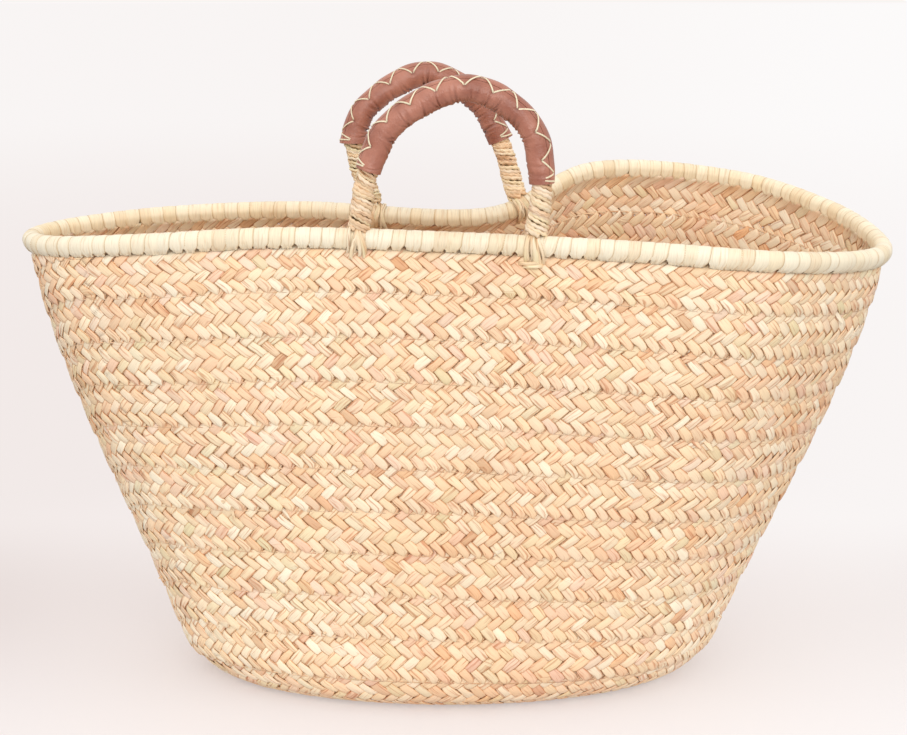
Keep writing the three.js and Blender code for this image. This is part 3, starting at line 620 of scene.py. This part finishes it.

# Handles: where each stands on the roll, its span, the wound length of its two legs, how far the winding
# reaches below each, and the painted light and shade multiplied into each leg's winding, deeper on the
# front legs and paler on the back right. The run of the centre line, as share of the span and height over
# the hinge, is the imported model's.
HANDLES = {
    "front": {
        "side": -1, "centre": FRONT_CENTRE, "span": FRONT_SPAN, "legs": (34, 30), "feet": (5, 2.5),
        "painted_leg_light": ((0.96, 0.9, 0.89), (1, 0.96, 0.98)),
        "crest": [(-0.45, 42), (-0.32, 74), (0.1, 98), (0.445, 76), (0.525, 40)],
    },
    "back": {
        "side": 1, "centre": -8, "span": 103, "legs": (43, 38), "feet": (2, 4),
        "painted_leg_light": ((1, 1, 1), (1.08, 1.02, 1.01)),
        "crest": [(-0.615, 52), (-0.52, 76), (-0.08, 97.5), (0.255, 76), (0.4, 44)],
    },
}
for name, handle in HANDLES.items():
    joint = joints[f"{name}_handle"]
    hinge = np.array(joint["axis"]) * np.sign(joint["axis"][0])
    depth = unit(np.cross((0, 0, 1), hinge))
    upward = np.cross(hinge, depth)
    origin = np.array(joint["pos_m"])
    span = handle["span"] / hinge[0]
    core = frame["nodes"][f"{name}_handle_core"].data
    corners = np.empty(len(core.vertices) * 3)
    core.vertices.foreach_get("co", corners)
    corners = corners.reshape(-1, 3) - origin
    local = np.column_stack([corners @ hinge, corners @ depth, corners @ upward]) / MM
    crest = np.array([(share * span, 0, height) for share, height in handle["crest"]])
    ends = []
    for x, neighbour in ((-span / 2, crest[0]), (span / 2, crest[-1])):
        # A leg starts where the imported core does
        lean = unit(neighbour - (x, 0, 0))
        reach = ((local[np.sign(local[:, 0]) == np.sign(x)] - (x, 0, 0)) @ lean).min()
        ends.append(lean * reach + (x, 0, 0))
    knots = np.array([ends[0], *crest, ends[1]])
    knots = np.array([2 * knots[0] - knots[1], *knots, 2 * knots[-1] - knots[-2]])
    line = []
    t = np.linspace(0, 1, 80, endpoint=False)[:, None]
    for p0, p1, p2, p3 in zip(knots, knots[1:], knots[2:], knots[3:]):
        d0, d1, d2 = (math.sqrt(math.dist(a, b)) for a, b in ((p0, p1), (p1, p2), (p2, p3)))
        m1 = ((p1 - p0) / d0 - (p2 - p0) / (d0 + d1) + (p2 - p1) / d1) * d1
        m2 = ((p2 - p1) / d1 - (p3 - p1) / (d1 + d2) + (p3 - p2) / d2) * d1
        line.append(p1 + m1 * t + (3 * (p2 - p1) - 2 * m1 - m2) * t**2 + (2 * (p1 - p2) + m1 + m2) * t**3)
    line = np.concatenate([*line, [knots[-2]]])
    run = run_along(line)
    handle.update(
        line=line, run=run, length=run[-1], origin=origin / MM,
        axes=np.array([hinge, depth, upward]), span=span, body=f"{name}_handle",
    )


def handle_frame(handle, along):
    """Centre, run and outer side of the handle's centre line at a length along it, in its own
    frame: x along the hinge, y back and z up."""
    def at(reach):
        return np.stack([
            np.interp(reach, handle["run"], values) for values in handle["line"].T
        ], -1)

    reach = np.clip(along, 0.2, handle["length"] - 0.2)
    run = unit(at(reach + 0.2) - at(reach - 0.2))
    centre = at(reach) + run * (along - reach)[..., None]
    return centre, run, np.cross(run, (0, 1, 0))


def handle_place(handle, along, angle, radius):
    """A place round the centre line, angle 0 on the outer crest and a quarter turn at the back."""
    centre, run, crest = handle_frame(handle, along)
    crest = crest * (np.cos(angle) * radius)[..., None]
    return centre + crest + np.array([0, 1, 0]) * (np.sin(angle) * radius)[..., None]


def to_world(handle, local):
    return (local @ handle["axes"] + handle["origin"]) * MM


# Rope cores: thick three-strand rope of palm fibre, thin in the legs and padded where the hand
# holds it, seen only between the turns of the winding and in the mouths of the sleeves.
CORE_LEG = 7.2
CORE_GRIP = 13.4
for name, handle in HANDLES.items():
    along = np.linspace(0, handle["length"], 160)
    centre, run, crest = handle_frame(handle, along)
    left, right = handle["legs"]
    to_grip = smooth(along, left + 5, left + 14)
    grip = to_grip * smooth(handle["length"] - along, right + 5, right + 14)
    thick = (CORE_LEG + (CORE_GRIP - CORE_LEG) * grip) * MM
    outside = crest @ handle["axes"]
    core = cord_strip(
        to_world(handle, centre), outside, thick, thick, FIBRE_TONE, lobes=3, twist=70, sides=18,
    )
    leaf_piece(
        f"{name}_rope_core", [core], loose_fibre, handle["body"],
        [f"{name}_handle_core"],
    )

# Leg windings: five soft twisted leaf strands side by side, wound in close turns from the foot of
# each leg into the mouth of the leather. The turns are uneven and thicker towards the foot.
WINDING_STRANDS = 5
WINDING_PITCH = 13.0
WINDING_ENTRY = 4
WINDING_RADIUS = 6.1
WINDING_TAPER = 0.7
WINDING_WIDTH = 2.7
WINDING_THICKNESS = 2.4
CORD_COLOURS = np.array([
    linear(code) for code in ("FBECD0", "F7E3BF", "F1D6B0", "E7C59B", "F0E0B8")
])
twisted_leaf = leaf_material("twisted_leaf_cord", 0.6, 0.8, "B68A60", 0.25)


def mottled(count, spacing):
    """A tone for each of many points along a cord, drifting between the cord's colours."""
    spots = np.arange(0, count + spacing, spacing)
    picks = CORD_COLOURS[dice.choice(len(CORD_COLOURS), len(spots))]
    picks = picks * dice.normal(1, 0.05, (len(spots), 1))
    return np.stack([np.interp(np.arange(count), spots, picks[:, k]) for k in range(3)], -1)[:, None]


LEGS = [
    (f"{name}_{end}", handle, leg)
    for name, handle in HANDLES.items()
    for leg, end in enumerate(("left", "right"))
]
for leg_name, handle, leg in LEGS:
    leg_length = handle["legs"][leg]
    foot = handle["feet"][leg]
    loops = (leg_length + foot + WINDING_ENTRY) / WINDING_PITCH
    strips = []
    for strand in range(WINDING_STRANDS):
        turns = np.linspace(0, loops, round(loops * 64) + 1)
        knots = np.arange(0, loops + 1.5, 0.31)

        def uneven(size):
            return np.interp(turns, knots, dice.normal(0, size, len(knots)))

        along = turns * WINDING_PITCH - foot + uneven(0.5)
        taper = smooth(along, 0.2 * leg_length, 0.9 * leg_length)
        radius = WINDING_RADIUS - WINDING_TAPER * taper + uneven(0.3)
        place = along if leg == 0 else handle["length"] - along
        angle = (turns + strand / WINDING_STRANDS) * TURN * (1 if leg == 0 else -1)
        path = to_world(handle, handle_place(handle, place, angle, radius))
        outside = path - to_world(handle, handle_frame(handle, place)[0])
        width = (WINDING_WIDTH + uneven(0.35)) * MM
        # Each leg's winding is multiplied by its painted light and shade
        tone = mottled(len(path), 24) * handle["painted_leg_light"][leg]
        strips.append(cord_strip(
            path, outside, width, WINDING_THICKNESS * MM, tone,
            depth=0.24, twist=620 + 200 * dice.random(), sides=10,
        ))
    leaf_piece(
        f"{leg_name}_wound_cord", strips, twisted_leaf, handle["body"],
        [f"{leg_name}_leg_winding"],
    )

# Leg ends: the leaf strands of each leg come out under its winding and spread on the roll.
TAIL_STRANDS = 8
TAIL_RADIUS = 6.9
TAIL_WIDTHS = (1.8, 3.0)
TAIL_THICKNESS = 1.3
TAIL_SPREAD = 3.6
for leg_name, handle, leg in LEGS:
    inward = 1 if leg == 0 else -1
    x = -inward * handle["span"] / 2
    foot = handle["feet"][leg]
    top = 3.0 - foot if leg == 0 else handle["length"] - 3.0 + foot
    neck = -foot if leg == 0 else handle["length"] + foot
    strips = []
    for strand in range(TAIL_STRANDS):
        angle = (strand + 0.5) / TAIL_STRANDS * TURN + dice.normal(0, 0.15)
        start = handle_place(handle, np.array([top]), angle, np.array([3.0]))[0]
        waist = handle_place(handle, np.array([neck]), angle, np.array([4.0]))[0]
        lie = math.sin(angle) * 0.6
        rest = np.array([
            x - math.cos(angle) * TAIL_SPREAD * inward,
            TAIL_RADIUS * math.sin(lie), TAIL_RADIUS * math.cos(lie),
        ])
        middle = (waist + rest) / 2 + (rest - waist)[[1, 0, 2]] * 0.04
        points = bezier([start[None], waist[None], middle[None], rest[None]], 16)[:, 0]
        path = to_world(handle, points)
        outside = path - to_world(handle, points * (0, 0, 1) + np.array([x, 0, 0]))
        strips.append(cord_strip(
            path, outside, dice.uniform(*TAIL_WIDTHS) * MM, TAIL_THICKNESS * MM,
            mottled(len(path), 9), twist=240 * dice.random(),
        ))
    leaf_piece(f"{leg_name}_leg_strands", strips, twisted_leaf, handle["body"], [])

# Lashings: the leaf strands that end each leg, looped over the roll, spread a little and passed
# through the wall just under the binding, so that the handle swings on them.
LASH_CORDS = 7
LASH_REACH = 7.6
LASH_DROP = 12.0
LASH_GATHER = 4.0
LASH_FAN = 7.4
LASH_WIDTHS = (1.6, 3.0)
LASH_THICKNESS = 1.3
STITCH_REACH = 7.5
STITCH_WIDTH = 2.5
STITCH_THICKNESS = 1.6
for leg_name, handle, leg in LEGS:
    place = handle["centre"] + (2 * leg - 1) * handle["span"] * handle["axes"][0, 0] / 2
    half = roll_line[:, 1] * handle["side"] > 0
    phi = roll_angles[half][np.argmin(np.abs(roll_line[half, 0] - place))]
    centre, along, outward, away = roll_frame(np.array([phi]))

    def on_roll(out, up, shift):
        path = centre + outward * out[:, None] + away * up[:, None] + along * shift[:, None]
        return (path + SHIFT) * MM

    strips = []
    for cord in range(LASH_CORDS):
        spread = (cord + 0.5) / LASH_CORDS * 2 - 1
        # From the top of the roll down the outer side, through the wall and up the inner side
        loop = np.linspace(0, TURN, 57)
        drop = LASH_DROP + dice.uniform(-2.5, 2.0)
        waist = np.where(np.cos(loop) < 0, 1 - 0.5 * np.cos(loop) ** 2, 1)
        out = LASH_REACH * np.sin(loop) * waist
        up = np.where(np.cos(loop) > 0, LASH_REACH * np.cos(loop), drop * np.cos(loop))
        fan = smooth(-up, -LASH_REACH, LASH_DROP)
        shift = spread * (LASH_GATHER + (LASH_FAN - LASH_GATHER) * fan)
        shift = shift + dice.normal(0, 0.6) + np.sin(loop * 2 + dice.random() * TURN) * 0.9
        outside = outward * np.sin(loop)[:, None] + away * np.cos(loop)[:, None]
        strips.append(cord_strip(
            on_roll(out, up, shift), outside, dice.uniform(*LASH_WIDTHS) * MM,
            LASH_THICKNESS * MM, mottled(len(loop), 11), twist=230 * dice.random(),
        ))
    # The front right lashing ends in two stitches laid across its strands
    for stitch in range(2 if leg_name == "front_right" else 0):
        t = np.linspace(-1, 1, 25)
        shift = (STITCH_REACH - stitch) * t + 2 * stitch - 2
        up = -LASH_DROP - 0.6 - 1.9 * stitch + 0.9 * t**2 + 0.5 * t
        out = 5.2 * np.cos(t * math.pi / 2) ** 0.4 - 0.8
        strips.append(cord_strip(
            on_roll(out, up, shift), outward * np.ones((len(t), 1)), STITCH_WIDTH * MM,
            STITCH_THICKNESS * MM, mottled(len(t), 9), twist=230 * dice.random(),
        ))
    leaf_piece(
        f"{leg_name}_lash_cords", strips, twisted_leaf, "basket",
        [f"{leg_name}_lashing"],
    )

# Leather sleeves: a strip of thin brown sheepskin rolled round each grip, its two long edges
# meeting along the outer crest. It creases on the inner side, where the grip bends.
SLEEVE_RADIUS = 8.75
LEATHER_THICKNESS = 1.3
CREASES = 70
CREASE_DEPTHS = (0.15, 0.75)
CREASE_WIDTHS = (0.45, 1.1)
CREASE_SLANT = 3.5
CREASE_WANDER = 0.55
CREASE_SPREADS = (0.5, 1.15)
LIP_LIFT = 2.6
LACE_PITCH = 18.5
LACE_MARGIN = 6.5
LACE_SPREAD = 0.56
LACE_SIDE = 0.6
LACE_DRIFT = 0.3
SEAM_GAP = 0.02
SEAM_GROOVE = 0.18
leather, tree, shader = new_material("rolled_brown_sheepskin")
spot = add_node(tree, "TexCoord", result="Object")
crease = add_node(
    tree, "Attribute", result="Fac", attribute_name="crease", attribute_type="GEOMETRY",
)
# Cloudy dye over 30 mm, pebbled grain about 1 mm across, drawn coarser than the real pores
cloud = add_node(tree, "TexNoise", {"Vector": spot, "Scale": 60.0, "Detail": 8.0})
blotch = add_node(tree, "MapRange", {"Value": cloud, "From Min": 0.36, "From Max": 0.64})
pebble = add_node(tree, "TexVoronoi", {"Vector": spot, "Scale": 900.0})
hide = add_node(tree, "TexNoise", {"Vector": spot, "Scale": 260.0, "Detail": 5.0})
dye = add_node(tree, "Mix", {
    "Factor": blotch, "A": (*linear("9B604E"), 1), "B": (*linear("B97C68"), 1),
}, data_type="RGBA")
# Painted shade: the leather is darkened towards dark brown in its creases and in the dents the thread
# pulls at each hole
painted_crease_shade = add_node(tree, "Mix", {
    "Factor": crease, "A": dye, "B": (*linear("5A342B"), 1),
}, data_type="RGBA")
gloss = add_node(tree, "MapRange", {
    "Value": hide, "From Min": 0.3, "From Max": 0.7, "To Min": 0.27, "To Max": 0.44,
})
relief = add_node(tree, "Math", {0: hide, 1: pebble}, operation="ADD")
bump = add_node(tree, "Bump", {"Height": relief, "Strength": 0.5, "Distance": 0.3 * MM})
tree.links.new(painted_crease_shade, shader.inputs["Base Color"])
tree.links.new(gloss, shader.inputs["Roughness"])
tree.links.new(bump, shader.inputs["Normal"])


def half_turned(angle):
    """The same direction as an angle, between minus half a turn and half a turn."""
    return np.mod(angle + math.pi, TURN) - math.pi


def lace_holes(handle):
    """Length along the handle and angle from the crest of each hole, from left to right."""
    left, right = handle["legs"]
    laced = handle["length"] - left - right - 2 * LACE_MARGIN
    count = 2 * round(laced / LACE_PITCH)
    along = left + LACE_MARGIN + np.arange(count + 1) / count * laced
    side = np.where(np.arange(count + 1) % 2 == 0, 1, -1)
    return along, LACE_SPREAD * side - LACE_SIDE - LACE_DRIFT * np.arange(count + 1) / count


for name, handle in HANDLES.items():
    left, right = handle["legs"]
    reach = handle["length"] - left - right
    dice_sleeve = np.random.default_rng(23 if name == "front" else 29)
    # Each crease's place along the sleeve, depth, width, slant, and middle and reach round it
    creases = np.column_stack([
        np.sort(dice_sleeve.uniform(4, reach - 4, CREASES)),
        dice_sleeve.uniform(*CREASE_DEPTHS, CREASES),
        dice_sleeve.uniform(*CREASE_WIDTHS, CREASES),
        dice_sleeve.normal(0, CREASE_SLANT, CREASES),
        math.pi + dice_sleeve.normal(0, CREASE_WANDER, CREASES),
        dice_sleeve.uniform(*CREASE_SPREADS, CREASES),
    ])

    def sleeve_shape(share, angle):
        """Radius of the leather, and how much painted shade darkens it in its creases and at the lace
        holes, at a share of its length.
        """
        along = share * reach
        # The hide is a little uneven, and a crease is a groove between two low swellings
        radius = SLEEVE_RADIUS + 0.25 * np.sin(along * 0.13 + 2 * angle)
        radius = radius + 0.18 * np.sin(along * 0.31 - angle)
        depth = 0 * along * angle
        for at, deep, wide, slant, middle, spread in creases:
            fade = np.exp(-((half_turned(angle - middle) / spread) ** 2))
            off = (along - at - slant * np.sin(angle)) / wide
            depth = depth + deep * fade * np.exp(-off * off)
            radius = radius + 0.5 * deep * fade * np.exp(-((np.abs(off) - 2.2) ** 2))
        # Its ends are drawn in, but the back one's stand off the legs on their outer side
        flare = -0.5 * (np.exp(-along / 14) + np.exp(-(reach - along) / 14))
        if handle["side"] > 0:
            lip = LIP_LIFT * np.exp(-((half_turned(angle + 0.3) / 0.9) ** 2))
            flare = flare + lip * (np.exp(-along / 6) + 0.7 * np.exp(-(reach - along) / 6))
        # The thread pulls a dent at each hole
        pull = 0 * depth
        for at, side in zip(*lace_holes(handle)):
            turn = half_turned(angle - side) * SLEEVE_RADIUS
            off = along + left - at
            pull = pull + np.exp(-(turn**2 + off**2) / 3.0)
        return radius - depth - 0.75 * pull + flare, np.clip(0.55 * depth + 0.6 * pull**3, 0, 0.85)

    handle["sleeve_shape"] = sleeve_shape
    bpy.ops.mesh.primitive_grid_add(x_subdivisions=380, y_subdivisions=96, size=1)
    sleeve = bpy.context.object
    sleeve.name = f"{name}_rolled_leather"
    mesh = sleeve.data
    flat = np.empty(len(mesh.vertices) * 3)
    mesh.vertices.foreach_get("co", flat)
    flat = flat.reshape(-1, 3) + 0.5
    # The long edges meet under the middle of the lacing with a hair's gap
    from_seam = SEAM_GAP + flat[:, 1] * (TURN - 2 * SEAM_GAP)
    angle = from_seam - LACE_SIDE - LACE_DRIFT * flat[:, 0]
    radius, depth = sleeve_shape(flat[:, 0], angle)
    groove = np.exp(-(np.minimum(from_seam, TURN - from_seam) / 0.09) ** 2)
    radius = radius - SEAM_GROOVE * groove
    along = left + flat[:, 0] * reach
    local = handle_place(handle, along, angle, radius)
    mesh.vertices.foreach_set("co", to_world(handle, local).ravel())
    # The second value from sleeve_shape is the share of painted shade
    crease_shade_layer = mesh.attributes.new(name="crease", type="FLOAT", domain="POINT")
    crease_shade_layer.data.foreach_set("value", depth)
    bpy.ops.object.mode_set(mode="EDIT")
    bpy.ops.mesh.select_all(action="SELECT")
    bpy.ops.mesh.normals_make_consistent(inside=False)
    bpy.ops.object.mode_set(mode="OBJECT")
    outward = to_world(handle, handle_place(handle, along[:1], angle[:1], radius[:1] + 1))
    first = Vector(outward[0]) - mesh.vertices[0].co
    if first.dot(mesh.vertices[0].normal) < 0:
        mesh.flip_normals()
    thick = sleeve.modifiers.new("thickness", "SOLIDIFY")
    thick.thickness = LEATHER_THICKNESS * MM
    thick.offset = -1
    bpy.ops.object.modifier_apply(modifier=thick.name)
    bpy.ops.object.shade_smooth_by_angle(angle=math.radians(50))
    sleeve.select_set(False)
    mesh.materials.append(leather)
    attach(sleeve, f"{name}_handle")
    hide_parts(f"{name}_leather_sleeve")

# Lacing: one pale flat thread, laced in a zigzag over the crest from hole to hole, with two more
# stitches across the crest at each end of the sleeve, where it is made fast.
THREAD_WIDTH = 1.0
THREAD_THICKNESS = 0.7
THREAD_TONE = linear("EEE2C4")
waxed_thread = leaf_material("flat_lacing_thread", 0.5, 0.2, "D9C6A0", 0.05)
for name, handle in HANDLES.items():
    along, side = lace_holes(handle)
    stitches = list(zip(along, side, along[1:], side[1:]))
    stitches += [
        (along[0], side[0], along[0] - 3.5, side[1] - 0.1),
        (along[0] - 5, side[0] + 0.1, along[0] - 4, side[1] - 0.05),
        (along[-1], side[-1], along[-1] + 3, side[-2] - 0.1),
        (along[-1] + 5, side[-1] + 0.1, along[-1] + 3.5, side[-2] - 0.05),
    ]
    strips = []
    for from_along, from_side, to_along, to_side in stitches:
        t = np.linspace(0, 1, 17)
        place = from_along + (to_along - from_along) * t
        angle = from_side + (to_side - from_side) * t
        bow = 0.5 * np.sin(t * math.pi) + dice.normal(0, 0.15)
        # Both threads are laid by the back sleeve's length and creases, which sleeve_shape read
        # last, so the front one lies up to 0.7 mm nearer or further than meant
        share = (place - handle["legs"][0]) / (handle["length"] - sum(handle["legs"]))
        radius = handle["sleeve_shape"](share, angle)[0]
        sunk = 1.5 * (1 - np.sin(np.clip(t * 6, 0, 1) * np.clip((1 - t) * 6, 0, 1) * math.pi / 2))
        local = handle_place(handle, place + bow * 0.6, angle, radius + THREAD_THICKNESS * 0.6 - sunk)
        centre = handle_frame(handle, place)[0]
        path = to_world(handle, local)
        strips.append(cord_strip(
            path, path - to_world(handle, centre), THREAD_WIDTH * MM, THREAD_THICKNESS * MM,
            THREAD_TONE * dice.normal(1, 0.03),
        ))
    leaf_piece(
        f"{name}_lacing_thread", strips, waxed_thread, handle["body"],
        [f"{name}_sleeve_lacing"],
    )

# Leaf ends: where a strand ran out, the next was laid in beside it, and short ends of both were
# left standing out of the seams, more of them on the inside.
LEAF_ENDS = 165
FIRST_TURN = 5
OUTSIDE_SHARE = 0.4
END_THICKNESS = 0.35
ends = []
for end in range(LEAF_ENDS):
    step = dice.uniform(FIRST_TURN, TURNS - 0.4) * STEPS_ROUND
    side = 1 if dice.random() < OUTSIDE_SHARE else -1
    slope = dice.uniform(0.35, 0.95) * dice.choice([-1, 1])
    t = np.linspace(0, 1, 9)
    travel = t * dice.uniform(4, 12)
    start = np.interp(step, strip_steps, strip_run)
    steps = np.interp(start + travel * math.cos(slope), strip_run, strip_steps)
    height = climb_level(step) * COURSE + dice.normal(0, 1.2) + travel * math.sin(slope)
    out = side * (0.4 + dice.uniform(1.2, 3.2) * t + dice.exponential(1.3) * t * t)
    phi = step_angle(START_STEP + steps)
    path = wall(phi, height, out)
    outside = wall(phi, height, out + side) - path
    width = dice.uniform(1.2, 3.4) * (1 - 0.7 * t**3) * MM
    tone = LEAF_COLOURS[dice.choice(len(LEAF_COLOURS), p=LEAF_SHARES)]
    ends.append(cord_strip((path + SHIFT) * MM, outside, width, END_THICKNESS * MM, tone))
leaf_piece("seam_leaf_ends", ends, plaited_leaf, "basket", [])

# Studio: a plain pale floor that fades into the background, soft light from all round with a broad
# lamp in front and a weak one at the upper left, and the camera as it stood for the photograph.
EYE_DISTANCE = 1200
EYE_PITCH = math.radians(12.06)
EYE_TARGET = np.array([-4, 0, 216]) + SHIFT
EYE_PIXELS = 1724
PICTURE_WIDTH = 907
SENSOR_WIDTH = 36
BACKDROP_LEFT = "F2EAE8"
BACKDROP_RIGHT = "F9F5F4"
PAINTED_FLOOR_SHADOW = "DACDC9"
bpy.ops.mesh.primitive_plane_add(size=400)
floor = bpy.context.object
floor.name = "studio_floor"
floor.select_set(False)
paper, tree, shader = new_material("matt_paper_sweep")
shader.inputs["Base Color"].default_value = (*linear("FBF8FA"), 1)
shader.inputs["Roughness"].default_value = 0.9
spot = add_node(tree, "TexCoord", result="Object")
parts = add_node(tree, "SeparateXYZ", {0: spot}).node.outputs
# Painted light and shade: the paper is painted paler to the right, and a painted shadow dims it in a band
# under and just behind the basket, most of all at the left
behind = add_node(tree, "Math", {0: parts["Y"]}, operation="ABSOLUTE")
reach = add_node(tree, "Math", {0: behind, 1: 1.3}, operation="ADD")
bearing = add_node(tree, "Math", {0: parts["X"], 1: reach}, operation="DIVIDE")
sideways = add_node(tree, "Math", {0: parts["X"]}, operation="ABSOLUTE")
far = add_node(tree, "VectorMath", {0: spot}, operation="LENGTH")
# Each fade runs between two places on the floor, in metres, and the first between two bearings
fades = {}
for name, value, start, end, first, last, kind in (
    ("rightward", bearing, -0.06, 0.26, 0, 1, "SMOOTHSTEP"),
    ("into_dip", parts["Y"], -0.22, 0.08, 0, 1, "SMOOTHSTEP"),
    ("out_of_dip", parts["Y"], 0.08, 0.36, 0.9, 0, "SMOOTHSTEP"),
    ("leftward", parts["X"], -0.2, 0.35, 1, 0.45, "LINEAR"),
    ("near", sideways, 0.4, 0.7, 1, 0, "SMOOTHSTEP"),
    ("distant", far, 0.8, 6.0, 0, 0.5, "SMOOTHSTEP"),
    ("glowing", far, 0.2, 0.6, 0.5, 1, "SMOOTHSTEP"),
):
    fades[name] = add_node(tree, "MapRange", {
        "Value": value, "From Min": start, "From Max": end, "To Min": first, "To Max": last,
    }, interpolation_type=kind)
dip = fades["into_dip"]
for name in ("out_of_dip", "leftward", "near"):
    dip = add_node(tree, "Math", {0: dip, 1: fades[name]}, operation="MULTIPLY")
ground = (*linear(BACKDROP_LEFT), 1)
for share, colour in (
    (fades["rightward"], (*linear(BACKDROP_RIGHT), 1)),
    (dip, (*linear(PAINTED_FLOOR_SHADOW), 1)),
    (fades["distant"], (1, 1, 1, 1)),
):
    mixed = {"Factor": share, "A": ground, "B": colour}
    ground = add_node(tree, "Mix", mixed, data_type="RGBA")
# It looks as bright as the photo's, and lights the basket from below only half as strongly
# Painted light: the floor is also an emission in its painted colours, mixed half and half with the paper
# near the basket and alone from 0.6 m out, which makes the basket's shadow on it faint
sight = add_node(tree, "LightPath")
bounce = add_node(tree, "MapRange", {"Value": sight, "To Min": 0.5})
glow = add_node(tree, "Emission", {"Color": ground, "Strength": bounce})
blend = add_node(tree, "MixShader", {"Fac": fades["glowing"], 1: shader.outputs["BSDF"], 2: glow})
tree.links.new(blend, tree.nodes["Material Output"].inputs["Surface"])
floor.data.materials.append(paper)

world = bpy.data.worlds.new("studio_air")
bpy.context.scene.world = world
world.use_nodes = True
tree = world.node_tree
seen = add_node(tree, "Background", {"Color": (*linear("FBF7F6"), 1), "Strength": 1.0})
light = add_node(tree, "Background", {"Color": (1, 0.975, 0.95, 1), "Strength": 1.0})
rays = add_node(tree, "LightPath")
either = add_node(tree, "MixShader", {"Fac": rays, 1: light, 2: seen})
tree.links.new(either, tree.nodes["World Output"].inputs["Surface"])


def softbox(name, place, size, power):
    lamp = bpy.data.lights.new(name, "AREA")
    lamp.size = size
    lamp.energy = power
    lamp.color = (1, 0.985, 0.965)
    holder = new_object(name, lamp)
    holder.location = place
    holder.rotation_euler = (Vector((0, 0, 0.2)) - Vector(place)).to_track_quat("-Z", "Y").to_euler()


# Places and sizes in metres, power in watts
softbox("upper_left_softbox", (-0.8, -2.0, 2.0), 1.8, 6)
softbox("front_softbox", (0.3, -2.4, 1.0), 1.8, 24)

ahead = np.array([0, math.cos(EYE_PITCH), -math.sin(EYE_PITCH)])
lens = bpy.data.cameras.new("photo_camera")
lens.sensor_width = SENSOR_WIDTH
lens.lens = EYE_PIXELS / PICTURE_WIDTH * SENSOR_WIDTH
lens.clip_start = 0.05
camera = new_object("photo_camera", lens)
camera.location = (EYE_TARGET - ahead * EYE_DISTANCE) * MM
camera.rotation_euler = (math.pi / 2 - EYE_PITCH, 0, 0)
bpy.context.scene.camera = camera
bpy.context.scene.view_settings.view_transform = "Standard"
